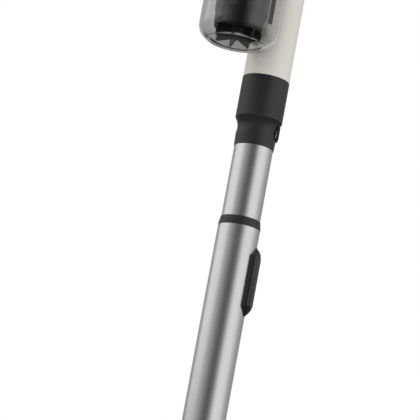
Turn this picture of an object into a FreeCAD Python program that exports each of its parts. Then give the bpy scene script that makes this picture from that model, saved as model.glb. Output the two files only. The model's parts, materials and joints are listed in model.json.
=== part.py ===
import FreeCAD, Part
import os
import re
import sys

import Sketcher

# Cordless stick vacuum, parked upright on its floor head.
# Frame: millimetres, +Z up, the floor at Z = 0, the wand's axis on the Z axis, the front towards -Y.
# The dust bin hangs in front of the wand's axis, the handle and the battery lie behind it.

SIZES = [
    # fits
    ("slideFit", 0.1, "radial clearance of sliding and turning fits"),
    ("partGap", 0.3, "clearance round a button or a lid"),
    # wand
    ("lowerOd", 42.0, "outside diameter of the lower wand tube"),
    ("lowerWall", 0.8, "wall of the lower wand tube"),
    ("lowerBase", 168.0, "height of the lower tube's foot"),
    ("lowerLen", 450.6, "length of the lower tube"),
    ("upperOd", 38.8, "outside diameter of the upper wand tube"),
    ("upperWall", 1.0, "wall of the upper wand tube"),
    ("upperInside", 330.0, "length of the upper tube that is inside the lower one"),
    ("upperShown", 73.2, "length of the upper tube that shows"),
    ("upperGrip", 28.0, "length of the upper tube that the collar holds"),
    ("shoeLen", 22.0, "length of the sliding shoe"),
    ("ringRise", 9.0, "height of the telescope ring"),
    ("ringTopOd", 39.8, "diameter of the telescope ring's top"),
    ("ringSleeve", 25.0, "length of the ring's sleeve inside the lower tube"),
    ("detentPitch", 50.0, "distance between the latch holes"),
    ("detentCount", 6.0, "number of latch holes"),
    ("detentWide", 6.0, "width of a latch hole"),
    ("detentTall", 9.0, "height of a latch hole"),
    # telescope latch
    ("latchTurn", 17.0, "angle from +X to the latch, about Z"),
    ("latchDrop", 17.6, "distance from the ring down to the latch"),
    ("latchLen", 69.0, "length of the latch frame"),
    ("latchWide", 18.0, "width of the latch frame"),
    ("latchTip", 9.0, "length of each pointed end of the latch"),
    ("frameProud", 1.6, "how far the latch frame stands proud of the tube"),
    ("latchProud", 5.7, "how far the latch button stands proud of the tube"),
    ("latchRim", 1.4, "width of the frame round the latch button"),
    ("latchBevel", 2.9, "bevel along the latch button"),
    ("pinWide", 5.0, "width of the latch pin"),
    # collar at the wand's top
    ("releaseTurn", 35.0, "angle from +X to the wand release, about Z"),
    ("collarOd", 47.0, "outside diameter of the wand collar"),
    ("collarLen", 71.1, "length of the wand collar"),
    ("collarStep", 28.5, "height of the collar's step above its foot"),
    ("mouthOd", 39.9, "outside diameter of the collar's foot"),
    ("mouthLen", 13.0, "length of the collar's narrow foot"),
    ("flareRadius", 18.0, "radius of the collar's flare"),
    ("bossOut", 21.8, "distance of the release boss's face from the axis"),
    ("releaseOut", 22.4, "distance of the release button's face from the axis"),
    ("releaseWide", 13.0, "width of the wand release button"),
    ("releaseTall", 11.0, "height of the wand release button"),
    ("spigotOd", 39.9, "diameter of the hand unit's spigot"),
    ("spigotLen", 35.0, "length of the hand unit's spigot"),
    # neck and dust bin
    ("neckOd", 46.5, "outside diameter of the neck"),
    ("neckWall", 2.5, "wall of the neck"),
    ("binOffset", 63.6, "distance of the bin's axis in front of the wand's axis"),
    ("binOd", 77.6, "outside diameter of the dust bin"),
    ("binWall", 2.0, "wall of the dust bin"),
    ("binLift", 16.6, "distance from the collar's top up to the bin's floor"),
    ("binDeep", 199.9, "height of the dust bin"),
    ("binCorner", 14.5, "radius of the bin's lower corner"),
    ("sealThick", 1.5, "thickness of the bin seal"),
    ("skirtDeep", 8.0, "how far the housing's skirt reaches down over the bin"),
    # cyclone
    ("shroudOd", 51.8, "outside diameter of the cyclone shroud"),
    ("shroudWall", 1.6, "wall of the cyclone parts"),
    ("coneTall", 27.0, "height of the dust cone"),
    ("coneFootOd", 44.0, "diameter of the dust cone's foot"),
    ("coneLift", 0.8, "gap between the dust cone and the bin's floor"),
    ("flangeThick", 3.5, "thickness of the cyclone's flange"),
    ("slotCount", 16.0, "number of slots in the shroud"),
    ("slotWide", 5.0, "width of a slot in the shroud"),
    ("slotTall", 130.0, "height of a slot in the shroud"),
    ("coneCount", 6.0, "number of small cyclones"),
    ("cupTall", 60.0, "height of a small cyclone"),
    # motor housing and filter cap
    ("housingOd", 81.8, "outside diameter of the motor housing"),
    ("housingWall", 2.5, "wall of the motor housing"),
    ("housingRise", 99.0, "height of the housing above the bin"),
    ("webWide", 36.0, "width of the web between the housing and the neck"),
    ("portWide", 22.0, "width of the inlet port"),
    ("portTall", 26.0, "height of the inlet port"),
    ("portLift", 14.0, "distance of the port above the bin's top"),
    ("capRise", 36.0, "height of the filter cap"),
    ("capShoulder", 11.0, "radius of the cap's shoulder"),
    ("ventCount", 36.0, "number of exhaust vents"),
    ("ventWide", 2.6, "width of a vent"),
    ("ventTall", 13.0, "height of a vent"),
    ("motorOd", 46.0, "diameter of the suction motor"),
    ("motorLen", 46.0, "length of the suction motor"),
    ("shaftOd", 5.0, "diameter of the motor shaft"),
    ("fanOd", 40.0, "diameter of the impeller"),
    # handle
    ("handleWide", 32.0, "width of the handle"),
    ("handleBack", 104.0, "distance of the handle's back behind the wand's axis"),
    ("deckThick", 26.0, "height of the deck above the neck"),
    ("gripDeep", 34.0, "depth of the grip, front to back"),
    ("openTall", 88.0, "height of the finger opening"),
    ("bridgeThick", 16.0, "height of the bridge above the battery"),
    ("spineThick", 5.0, "thickness of the handle's wall behind the neck"),
    ("handleRound", 7.0, "rounding of the handle's edges"),
    # battery
    ("packTall", 45.0, "height of the battery pack"),
    ("packWide", 60.0, "width of the battery pack"),
    ("packFront", 25.6, "distance of the pack's front behind the wand's axis"),
    ("packWall", 2.0, "wall of the battery case"),
    ("cellOd", 18.0, "diameter of a cell"),
    ("cellLen", 65.0, "length of a cell"),
    # controls
    ("powerOd", 14.0, "diameter of the power button"),
    ("modeOd", 9.0, "diameter of a mode button"),
    ("modeSpread", 7.5, "distance of a mode button from the middle"),
    ("lensWide", 22.0, "width of the display lens"),
    ("lensLen", 36.0, "length of the display lens"),
    # floor head
    ("headHalf", 121.5, "half the width of the head's cover"),
    ("endThick", 3.5, "thickness of a side cover"),
    ("rollerY", -73.0, "the roller's axis, front to back"),
    ("rollerZ", 27.0, "height of the roller's axis"),
    ("tunnelRad", 28.5, "radius of the roller tunnel"),
    ("coverWall", 2.5, "wall of the head's cover"),
    ("soleTop", 7.0, "height of the sole plate's top"),
    ("soleThick", 3.0, "thickness of the sole plate"),
    ("barRear", -12.0, "the rear of the wide part of the head"),
    ("podHalf", 70.0, "half the width of the head's rear part"),
    ("podRear", 46.0, "the rear of the head"),
    ("podTop", 44.0, "height of the rear part"),
    ("notchHalf", 27.0, "half the width of the notch for the yoke"),
    ("notchFront", -18.5, "the front of the notch for the yoke"),
    ("pivotZ", 34.0, "height of the pitch axis"),
    ("barrelRad", 16.0, "radius of the yoke's barrel"),
    ("pivotRad", 4.0, "radius of the pivot pins"),
    ("stemRad", 17.0, "radius of the yoke's stem"),
    ("stemTop", 76.0, "height of the yoke's shoulder"),
    ("collarSeat", 126.0, "height at which the wand sits on the swivel"),
    ("coreRad", 17.0, "radius of the roller's core"),
    ("bristleRad", 26.0, "radius over the roller's bristles"),
    ("rollerHalf", 108.0, "half the length of the bristle roller"),
    ("mouthHalf", 110.0, "half the width of the suction mouth"),
    ("motorY", -27.0, "the drive motor's axis, front to back"),
    ("driveRad", 12.0, "radius of the drive motor"),
    ("rollerPulleyRad", 14.0, "radius of the roller's pulley"),
    ("motorPulleyRad", 7.0, "radius of the motor's pulley"),
    ("beltThick", 1.4, "thickness of the drive belt"),
    ("beltWide", 5.0, "width of the drive belt"),
    ("wheelRad", 17.0, "radius of a rear wheel"),
    ("wheelY", 34.0, "the wheels' axis, front to back"),
    ("wheelWide", 14.0, "width of a rear wheel"),
    ("wheelX", 51.0, "distance of a rear wheel's middle from the head's middle"),
    ("axleRad", 3.0, "radius of the wheel axles"),
    ("screwRad", 1.5, "radius of a screw's shank"),
    ("screwX", 35.0, "distance of the screws from the head's middle"),
    ("screwFront", -4.0, "the front screws, front to back"),
    ("screwRear", 38.0, "the rear screws, front to back"),
]

ALIASES = re.compile(r"\b(" + "|".join(name for name, _, _ in SIZES) + r")\b")
PLANES = {"X": "YZ_Plane", "Y": "XZ_Plane", "Z": "XY_Plane"}
TOUCH = 0.02  # how near an edge must be to count as lying in a plane

doc = FreeCAD.newDocument("StickVacuum")
sheet = doc.addObject("Spreadsheet::Sheet", "Sizes")
for row, (name, size, note) in enumerate(SIZES, 1):
    sheet.set(f"A{row}", name)
    sheet.set(f"B{row}", str(size))
    sheet.setAlias(f"B{row}", name)
    sheet.set(f"C{row}", note)
doc.recompute()
nodes = []


def bound(text):
    """An expression in the sheet's names, as FreeCAD wants it."""
    return ALIASES.sub(r"Sizes.\1", str(text))


def value(text):
    """What an expression in the sheet's names comes to now."""
    return float(sheet.evalExpression(bound(text)))


# Sketches and features


def piece(label, at=(0, 0, 0), turn=None, angle=0):
    """A new body. at is its place, and it turns about the axis turn by angle degrees."""
    body = doc.addObject("PartDesign::Body", label)
    body.Label = label
    axis = FreeCAD.Vector(*(turn or (0, 0, 1)))
    body.Placement = FreeCAD.Placement(FreeCAD.Vector(), FreeCAD.Rotation(axis, value(angle)))
    for side, text in zip("xyz", at):
        body.setExpression(f"Placement.Base.{side}", bound(text))
    if turn:
        body.setExpression("Placement.Rotation.Angle", f"({bound(angle)}) * 1deg")
    nodes.append(body)
    return body


def along_x(label, x, y, z):
    """A new body whose own Z axis lies along the frame's X."""
    return piece(label, (x, y, z), (0, 1, 0), 90)


def sketch_on(body, axis, height):
    """A sketch square to the axis, at that height along it."""
    origin = next(f for f in body.Origin.OriginFeatures if f.Role == PLANES[axis])
    sketch = body.newObject("Sketcher::SketchObject", "Outline")
    sketch.AttachmentSupport = [(origin, "")]
    sketch.MapMode = "FlatFace"
    side = "-" if axis == "Y" else ""  # that plane's normal points to -Y
    sketch.setExpression("AttachmentOffset.Base.z", bound(f"{side}({height})"))
    return sketch


def tie(sketch, kind, geometry, point, text):
    """Holds a point's distance from the sketch's origin to an expression."""
    made = sketch.addConstraint(Sketcher.Constraint(kind, -1, 1, geometry, point, value(text)))
    sketch.setExpression(f"Constraints[{made}]", bound(text))


def round_edge(start, end, radius):
    """The arc from start to end. A positive radius turns anticlockwise, a negative one clockwise."""
    half = (end - start) * 0.5
    across = FreeCAD.Vector(-half.y, half.x, 0).normalize()
    rise = max(radius * radius - half.Length * half.Length, 0) ** 0.5
    side = 1 if radius > 0 else -1
    centre = start + half + across * (rise * side)
    middle = centre + (start + half - centre).normalize() * abs(radius) if rise > TOUCH else start + half
    if rise <= TOUCH:
        middle = start + half - across * (abs(radius) * side)
    return Part.Arc(start, middle, end)


def polygon(sketch, corners):
    """A closed outline. A corner is (x, y), or (x, y, radius) where a round edge leaves it."""
    places = [FreeCAD.Vector(value(c[0]), value(c[1]), 0) for c in corners]
    edges = []
    for i, corner in enumerate(corners):
        start, end = places[i], places[(i + 1) % len(corners)]
        if len(corner) == 3:
            edges.append(sketch.addGeometry(round_edge(start, end, value(corner[2])), False))
        else:
            edges.append(sketch.addGeometry(Part.LineSegment(start, end), False))
    starts = []
    ends = []
    for i, edge in enumerate(edges):
        backwards = sketch.getPoint(edge, 1).distanceToPoint(places[i]) > TOUCH / 4
        starts.append(2 if backwards else 1)
        ends.append(1 if backwards else 2)
    for i, edge in enumerate(edges):
        after = (i + 1) % len(edges)
        sketch.addConstraint(Sketcher.Constraint("Coincident", edge, ends[i], edges[after], starts[after]))
    for i, corner in enumerate(corners):
        tie(sketch, "DistanceX", edges[i], starts[i], corner[0])
        tie(sketch, "DistanceY", edges[i], starts[i], corner[1])
        if len(corner) == 3:
            radius = abs(value(corner[2]))
            made = sketch.addConstraint(Sketcher.Constraint("Radius", edges[i], radius))
            sketch.setExpression(f"Constraints[{made}]", bound(f"abs({corner[2]})"))


def circle(sketch, x, y, radius):
    """A circle whose middle and radius are tied to the sheet."""
    middle = FreeCAD.Vector(value(x), value(y), 0)
    made = sketch.addGeometry(Part.Circle(middle, FreeCAD.Vector(0, 0, 1), value(radius)), False)
    tie(sketch, "DistanceX", made, 3, x)
    tie(sketch, "DistanceY", made, 3, y)
    held = sketch.addConstraint(Sketcher.Constraint("Radius", made, value(radius)))
    sketch.setExpression(f"Constraints[{held}]", bound(radius))


def draw(sketch, shape):
    """Draws ("round", x, y, radius), ("box", x0, y0, x1, y1) or a list of corners."""
    if shape[0] == "round":
        circle(sketch, *shape[1:])
    elif shape[0] == "box":
        x0, y0, x1, y1 = shape[1:]
        polygon(sketch, [(x0, y0), (x1, y0), (x1, y1), (x0, y1)])
    else:
        polygon(sketch, shape)


def prism(body, axis, shapes, low, high, cut=False):
    """Pads, or cuts, the outlines from low to high along the axis."""
    sketch = sketch_on(body, axis, high if axis == "Y" else low)
    for shape in shapes:
        draw(sketch, shape)
    made = body.newObject("PartDesign::Pocket" if cut else "PartDesign::Pad", "Cut" if cut else "Pad")
    made.Profile = sketch
    made.setExpression("Length", bound(f"({high}) - ({low})"))
    made.Reversed = cut
    return finish(body, made, cut)


def turned(body, corners, cut=False):
    """Turns the outline, given as (radius, height), about the body's Z axis."""
    sketch = sketch_on(body, "Y", 0)
    polygon(sketch, corners)
    made = body.newObject("PartDesign::Groove" if cut else "PartDesign::Revolution", "Turn")
    made.Profile = sketch
    made.ReferenceAxis = (sketch, ["V_Axis"])
    made.Angle = 360
    return finish(body, made, cut)


def finish(body, made, cut):
    """Recomputes, and makes sure that a cut has taken something away."""
    before = body.Shape.Volume if cut else 0
    doc.recompute()
    if cut and not body.Shape.Volume < before - 1e-3:
        sys.exit(f"{body.Label}: {made.Name} cuts nothing")
    return made


def ring(body, feature, count):
    """Repeats a feature evenly round the body's Z axis."""
    axis = next(f for f in body.Origin.OriginFeatures if f.Role == "Z_Axis")
    made = body.newObject("PartDesign::PolarPattern", "Ring")
    made.Originals = [feature]
    made.Axis = (axis, [""])
    made.Angle = 360
    made.setExpression("Occurrences", bound(count))
    body.Tip = made
    doc.recompute()


def rows(body, feature, axis, pitch, count, backwards=False):
    """Repeats a feature in a row along one of the body's axes."""
    line = next(f for f in body.Origin.OriginFeatures if f.Role == f"{axis}_Axis")
    made = body.newObject("PartDesign::LinearPattern", "Row")
    made.Originals = [feature]
    made.Direction = (line, [""])
    made.Reversed = backwards
    made.setExpression("Length", bound(f"({pitch}) * (({count}) - 1)"))
    made.setExpression("Occurrences", bound(count))
    body.Tip = made
    doc.recompute()


def mirrored(body, *features):
    """Repeats features on the other side of X = 0."""
    plane = next(f for f in body.Origin.OriginFeatures if f.Role == "YZ_Plane")
    made = body.newObject("PartDesign::Mirrored", "Mirror")
    made.Originals = list(features)
    made.MirrorPlane = (plane, [""])
    body.Tip = made
    doc.recompute()


def soften(body, radius, chosen, kind="Fillet"):
    """Rounds, or chamfers, the edges that chosen(edge) picks."""
    base = body.Tip
    edges = [f"Edge{i}" for i, e in enumerate(base.Shape.Edges, 1) if chosen(e)]
    if not edges:
        sys.exit(f"{body.Label}: no edge to soften")
    made = body.newObject(f"PartDesign::{kind}", kind)
    made.Base = (base, edges)
    made.setExpression("Radius" if kind == "Fillet" else "Size", bound(radius))
    doc.recompute()
    return made


def lies(edge, side, text):
    """Whether all of an edge lies in the plane side = text of the body's own frame."""
    want = value(text)
    first, last = edge.ParameterRange
    return all(
        abs(getattr(edge.valueAt(first + (last - first) * k / 4), side) - want) < TOUCH for k in range(5)
    )


def runs(edge, side):
    """Whether a straight edge runs along that axis."""
    ends = edge.Vertexes
    if len(ends) != 2 or edge.Curve.TypeId != "Part::GeomLine":
        return False
    way = ends[1].Point - ends[0].Point
    return abs(getattr(way, side)) > 0.999 * way.Length


# Places worked out from the sizes

lowerIn = "(lowerOd / 2 - lowerWall)"
lowerTop = "(lowerBase + lowerLen)"
ringTop = f"({lowerTop} + ringRise)"
upperFoot = f"({ringTop} - upperInside)"
collarFoot = f"({ringTop} + upperShown)"
collarTop = f"({collarFoot} + collarLen)"
latchTop = f"({lowerTop} - latchDrop)"
latchFoot = f"({latchTop} - latchLen)"
latchMid = f"({latchTop} - latchLen / 2)"
pinMid = f"({latchTop} - latchTip - detentTall)"
binFloor = f"({collarTop} + binLift)"
binTop = f"({binFloor} + binDeep)"
neckTop = f"({binTop} + housingRise)"
deckTop = f"({neckTop} + deckThick)"
openTop = f"{neckTop}"
openFoot = f"({openTop} - openTall)"
packTop = f"({openFoot} - bridgeThick - partGap)"
packFoot = f"({packTop} - packTall)"
gripFront = "(handleBack - gripDeep)"
flangeFoot = f"({binTop} + sealThick)"
flangeTop = f"({flangeFoot} + flangeThick)"
portFoot = f"({binTop} + portLift)"
housingIn = "(housingOd / 2 - housingWall)"
tunnelOut = "(tunnelRad + coverWall)"
soleFoot = "(soleTop - soleThick)"
headEnd = "(headHalf + endThick)"
beltX = "(mouthHalf + 1)"


def bin_axis(label, z=0):
    """A new body on the dust bin's axis."""
    return piece(label, (0, "-binOffset", z))


def latch_side(label, z=0, turn="latchTurn"):
    """A new body whose own X axis is turned round the wand, to the latch's side by default."""
    return piece(label, (0, 0, z), (0, 0, 1), turn)


# Wand


def lower_tube():
    body = latch_side("lower_tube", "lowerBase")
    turned(body, [(lowerIn, 0), ("lowerOd / 2", 0), ("lowerOd / 2", "lowerLen"), (lowerIn, "lowerLen")])
    low = f"{pinMid} - lowerBase - detentTall / 2"
    slot = ("box", "-detentWide / 2", low, "detentWide / 2", f"{low} + detentTall")
    prism(body, "X", [slot], 0, "lowerOd", cut=True)


def telescope_ring():
    body = piece("telescope_ring", (0, 0, lowerTop))
    bore = "upperOd / 2 + slideFit"
    sleeve = f"{lowerIn} - slideFit / 2"
    lip = "ringTopOd / 2"
    turned(
        body,
        [
            (bore, "-ringSleeve"),
            (sleeve, "-ringSleeve"),
            (sleeve, 0),
            ("lowerOd / 2 + slideFit", 0),
            ("lowerOd / 2 + slideFit", "ringRise / 6"),
            (lip, "ringRise - slideFit * 4"),
            (f"({lip} + {bore}) / 2", "ringRise"),
            (bore, "ringRise"),
        ],
    )


def upper_tube():
    body = latch_side("upper_tube", upperFoot)
    inner = "upperOd / 2 - upperWall"
    top = f"{collarFoot} + upperGrip - {upperFoot}"
    turned(body, [(inner, 0), ("upperOd / 2", 0), ("upperOd / 2", top), (inner, top)])
    low = f"{pinMid} - {upperFoot} - detentTall / 2"
    hole = ("box", "-detentWide / 2", low, "detentWide / 2", f"{low} + detentTall")
    first = prism(body, "X", [hole], 0, "upperOd", cut=True)
    rows(body, first, "Z", "detentPitch", "detentCount", backwards=True)


def slide_shoe():
    body = piece("slide_shoe", (0, 0, upperFoot))
    outer = f"{lowerIn} - slideFit"
    turned(body, [("upperOd / 2", 0), (outer, 0), (outer, "shoeLen"), ("upperOd / 2", "shoeLen")])


def wand_collar():
    body = latch_side("wand_collar", collarFoot, "releaseTurn")
    socket = "spigotOd / 2 + slideFit"
    stop = "upperOd / 2 - upperWall"
    edge = "collarOd / 2"
    turned(
        body,
        [
            ("upperOd / 2", 0),
            ("mouthOd / 2", 0),
            ("mouthOd / 2 + slideFit * 4", "mouthLen", "-flareRadius"),
            (f"{edge} - slideFit * 5", "collarStep - slideFit * 4"),
            (edge, "collarStep + slideFit * 4"),
            (edge, "collarLen - slideFit * 8"),
            (f"{edge} - slideFit * 6", "collarLen"),
            (socket, "collarLen"),
            (socket, "collarLen - spigotLen - slideFit * 5"),
            (stop, "collarLen - spigotLen - slideFit * 5"),
            (stop, "upperGrip"),
            ("upperOd / 2", "upperGrip"),
        ],
    )
    margin = "partGap * 6"
    low = "collarStep - releaseTall - partGap * 14"
    high = f"{low} + releaseTall"
    boss = (
        "box",
        f"-releaseWide / 2 - {margin}",
        f"{low} - {margin}",
        f"releaseWide / 2 + {margin}",
        "collarStep",
    )
    prism(body, "X", [boss], "mouthOd / 2 - slideFit * 2", "bossOut")
    floor = value(f"{low} - {margin}")
    soften(body, "partGap * 8", lambda e: runs(e, "x") and abs(e.CenterOfMass.z - floor) < TOUCH)
    well = (
        "box",
        "-releaseWide / 2 - partGap",
        f"{low} - partGap",
        "releaseWide / 2 + partGap",
        f"{high} + partGap",
    )
    prism(body, "X", [well], "upperOd / 2", "collarOd / 2 + releaseOut", cut=True)

    button = latch_side("wand_release_button", collarFoot, "releaseTurn")
    face = ("box", "-releaseWide / 2", low, "releaseWide / 2", high)
    prism(button, "X", [face], "releaseOut - partGap * 6", "releaseOut")
    soften(button, "partGap * 5", lambda e: runs(e, "x"))
    soften(button, "partGap * 2", lambda e: lies(e, "x", "releaseOut"))


def latch():
    """The sliding wand's latch: a frame on the tube, a pointed button in it, and its pin and spring."""
    reach = "lowerOd / 2 + frameProud"
    half = "latchWide / 2"
    frame = latch_side("latch_frame", latchFoot)

    def gem(inset):
        tip = f"({inset})"
        side = f"{half} - {tip}"
        return [
            (0, tip),
            (side, f"latchTip + {tip} / 2"),
            (side, f"latchLen - latchTip - {tip} / 2"),
            (0, f"latchLen - {tip}"),
            (f"-({side})", f"latchLen - latchTip - {tip} / 2"),
            (f"-({side})", f"latchTip + {tip} / 2"),
        ]

    prism(frame, "X", [gem(0)], "lowerOd / 2 - latchWide / 5", reach)
    prism(frame, "Z", [("round", 0, 0, "lowerOd / 2")], 0, "latchLen", cut=True)
    prism(frame, "X", [gem("latchRim")], 0, "lowerOd", cut=True)

    button = latch_side("latch_button", latchFoot)
    foot = "lowerOd / 2 + partGap * 4"
    prism(button, "X", [gem("latchRim + partGap")], foot, "lowerOd / 2 + latchProud")
    soften(button, "latchBevel", lambda e: lies(e, "x", "lowerOd / 2 + latchProud"), "Chamfer")
    soften(button, "partGap * 2", lambda e: runs(e, "x"))

    pin = latch_side("latch_pin", pinMid)
    face = ("box", "-pinWide / 2", "-pinWide / 2", "pinWide / 2", "pinWide / 2")
    prism(pin, "X", [face], "upperOd / 2 + partGap", foot)

    spring = piece("latch_spring", (0, 0, 0), (0, 0, 1), "latchTurn")
    middle = f"{latchMid} - latchTip"
    prism(spring, "X", [("round", 0, middle, "pinWide / 2")], "lowerOd / 2 + slideFit", foot)
    prism(spring, "X", [("round", 0, middle, "pinWide / 4")], "lowerOd / 2", "lowerOd", cut=True)


# Neck, dust bin and cyclone


def neck_duct():
    body = piece("neck_duct", (0, 0, collarTop))
    outer = "neckOd / 2"
    inner = "neckOd / 2 - neckWall"
    pipe = "spigotOd / 2 - 2 * slideFit - neckWall * 3 / 4"
    top = f"{neckTop} - {collarTop}"
    turned(
        body,
        [
            (pipe, "-spigotLen"),
            ("spigotOd / 2", "-spigotLen"),
            ("spigotOd / 2", 0),
            (outer, 0),
            (outer, top),
            (0, top),
            (0, f"{top} - neckWall"),
            (inner, f"{top} - neckWall"),
            (inner, "neckWall * 2"),
            (pipe, 0),
        ],
    )
    low = f"{portFoot} - {collarTop}"
    port = ("box", "-portWide / 2", low, "portWide / 2", f"{low} + portTall")
    prism(body, "Y", [port], "-neckOd", 0, cut=True)


def dust_bin():
    body = bin_axis("dust_bin", binFloor)
    outer = "binOd / 2"
    inner = "binOd / 2 - binWall"
    turned(
        body,
        [
            (0, 0),
            (f"{outer} - binCorner", 0, "binCorner"),
            (outer, "binCorner"),
            (outer, "binDeep"),
            (inner, "binDeep"),
            (inner, "binCorner", "-(binCorner - binWall)"),
            (f"{outer} - binCorner", "binWall"),
            (0, "binWall"),
        ],
    )


def bin_seal():
    body = bin_axis("bin_seal", binTop)
    turned(
        body,
        [
            ("binOd / 2 - binWall", 0),
            ("binOd / 2 - slideFit", 0),
            ("binOd / 2 - slideFit", "sealThick"),
            ("binOd / 2 - binWall", "sealThick"),
        ],
    )


def cyclone():
    """The shroud that hangs in the bin, the dust cone under it and the small cyclones inside it."""
    shroud = bin_axis("cyclone_shroud")
    outer = "shroudOd / 2"
    inner = "shroudOd / 2 - shroudWall"
    foot = f"({binFloor} + binWall + coneLift + coneTall)"
    turned(
        shroud,
        [
            (inner, foot),
            (outer, foot),
            (outer, flangeFoot),
            (inner, flangeFoot),
        ],
    )
    low = f"{foot} + slotWide"
    slot = prism(
        shroud,
        "X",
        [("box", "-slotWide / 2", low, "slotWide / 2", f"{low} + slotTall")],
        0,
        "shroudOd",
        cut=True,
    )
    ring(shroud, slot, "slotCount")

    cone = bin_axis("dust_cone", f"{foot} - coneTall")
    turned(
        cone,
        [
            ("coneFootOd / 2 - shroudWall", 0),
            ("coneFootOd / 2", 0),
            (outer, "coneTall"),
            (inner, "coneTall"),
        ],
    )

    cones = bin_axis("small_cyclones", flangeFoot)
    wide = f"({inner}) / 4"
    rim = f"{housingIn} - slideFit"
    turned(cones, [(0, 0), (rim, 0), (rim, "flangeThick"), (0, "flangeThick")])
    place = f"({inner}) * 0.6"
    cup = prism(cones, "Z", [("round", place, 0, wide)], "-cupTall", "flangeThick / 2")
    ring(cones, cup, "coneCount")
    vortex = prism(
        cones,
        "Z",
        [("round", place, 0, f"{wide} - shroudWall")],
        "-cupTall - partGap",
        "flangeThick + partGap",
        cut=True,
    )
    ring(cones, vortex, "coneCount")


# Motor housing


def motor_housing():
    body = bin_axis("motor_housing")
    outer = "housingOd / 2"
    skirt = "binOd / 2 + partGap"
    foot = f"{binTop} - skirtDeep"
    turned(
        body,
        [
            (skirt, foot),
            (f"{outer} - partGap * 2", foot),
            (outer, f"{foot} + partGap * 2"),
            (outer, neckTop),
            (housingIn, neckTop),
            (housingIn, flangeFoot),
            (skirt, flangeFoot),
        ],
    )
    rear = "binOffset"
    web = ("box", "-webWide / 2", f"{housingIn} + housingWall / 2", "webWide / 2", rear)
    prism(body, "Z", [web], f"{binTop} + skirtDeep / 2", f"{neckTop} - skirtDeep / 2")
    prism(body, "Z", [("round", 0, rear, "neckOd / 2 + slideFit")], foot, neckTop, cut=True)
    port = ("box", "-portWide / 2", portFoot, "portWide / 2", f"{portFoot} + portTall")
    prism(body, "Y", [port], "shroudOd / 2", rear, cut=True)
    well = (
        "box",
        "-portWide / 2 - partGap",
        f"{flangeTop} + partGap",
        "portWide / 2 + partGap",
        f"{flangeTop} + portTall / 2 + partGap * 3",
    )
    prism(body, "Y", [well], "-housingOd", "-shroudOd / 2", cut=True)

    button = bin_axis("bin_release_button")
    face = (
        "box",
        "-portWide / 2",
        f"{flangeTop} + partGap * 2",
        "portWide / 2",
        f"{flangeTop} + portTall / 2 + partGap * 2",
    )
    prism(button, "Y", [face], "-housingOd / 2 - housingWall / 2", f"-{housingIn} - partGap * 3")
    soften(button, "partGap * 7", lambda e: runs(e, "y"))
    soften(button, "partGap * 2", lambda e: lies(e, "y", "-housingOd / 2 - housingWall / 2"))


def filters_and_motor():
    foam = bin_axis("pre_motor_filter", flangeTop)
    turned(
        foam,
        [
            (0, 0),
            (f"{housingIn} - housingWall", 0),
            (f"{housingIn} - housingWall", "capShoulder"),
            (0, "capShoulder"),
        ],
    )

    fan_foot = f"({flangeTop} + capShoulder + partGap * 10)"
    fan_top = f"({fan_foot} + capShoulder)"
    shell = bin_axis("fan_shell", fan_foot)
    edge = "fanOd / 2 + partGap * 4"
    turned(
        shell,
        [
            ("fanOd / 4", 0),
            (edge, 0),
            ("motorOd / 2", "partGap * 4"),
            ("motorOd / 2", "capShoulder + partGap * 5"),
            (edge, "capShoulder + partGap * 5"),
            (edge, "partGap * 6"),
            ("fanOd / 4", "partGap * 4"),
        ],
    )

    fan = bin_axis("impeller", fan_foot)
    turned(
        fan,
        [
            (0, "partGap * 8"),
            ("fanOd / 8", "partGap * 8"),
            ("fanOd / 5", "capShoulder - partGap * 6"),
            ("fanOd / 2", "capShoulder - partGap * 3"),
            ("fanOd / 2", "capShoulder"),
            ("shaftOd / 2", "capShoulder"),
            ("shaftOd / 2", "capShoulder + motorLen / 2"),
            (0, "capShoulder + motorLen / 2"),
        ],
    )
    low = "partGap * 8"
    blade = prism(
        fan,
        "X",
        [("box", "fanOd / 9", low, "fanOd / 2 - partGap * 2", "capShoulder - partGap * 2")],
        "-partGap * 2",
        "partGap * 2",
    )
    ring(fan, blade, 9)

    can = bin_axis("suction_motor", f"{fan_top} + partGap * 5")
    turned(
        can,
        [
            ("shaftOd / 2 + slideFit", 0),
            ("motorOd / 2", 0),
            ("motorOd / 2", "motorLen"),
            ("shaftOd / 2 + slideFit", "motorLen"),
        ],
    )
    soften(can, "partGap * 8", lambda e: lies(e, "z", "motorLen") and e.Length > value("motorOd"))

    mount = bin_axis("motor_mount", f"{fan_top} + motorLen / 2")
    turned(
        mount,
        [
            ("motorOd / 2", 0),
            (f"{housingIn} - slideFit", 0),
            (f"{housingIn} - slideFit", "housingWall * 2"),
            ("motorOd / 2", "housingWall * 2"),
        ],
    )


def filter_cap():
    cap = bin_axis("filter_cap", neckTop)
    outer = "housingOd / 2"
    top = "capRise"
    crown = f"({outer} * 1.6)"
    inside = "housingOd / 2 - housingWall"
    turned(
        cap,
        [
            (inside, 0),
            (outer, 0),
            (outer, f"{top} - capShoulder", "capShoulder"),
            (f"{outer} - capShoulder", top),
            (0, top),
            (0, f"{top} - housingWall"),
            (f"{outer} - capShoulder", f"{top} - housingWall", "-(capShoulder - housingWall)"),
            (inside, f"{top} - capShoulder"),
        ],
    )
    vent = prism(
        cap,
        "X",
        [("box", "-ventWide / 2", "housingWall * 2", "ventWide / 2", "housingWall * 2 + ventTall")],
        "housingOd / 4",
        "housingOd",
        cut=True,
    )
    ring(cap, vent, "ventCount")

    paper = bin_axis("exhaust_filter", f"{neckTop} + housingWall")
    outer_paper = f"{inside} - partGap * 2"
    high = "capRise - housingWall * 2"
    turned(
        paper,
        [
            ("motorOd / 2", 0),
            (outer_paper, 0),
            (outer_paper, "ventTall + housingWall"),
            ("motorOd / 2", high),
        ],
    )


# Handle, battery and controls


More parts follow.
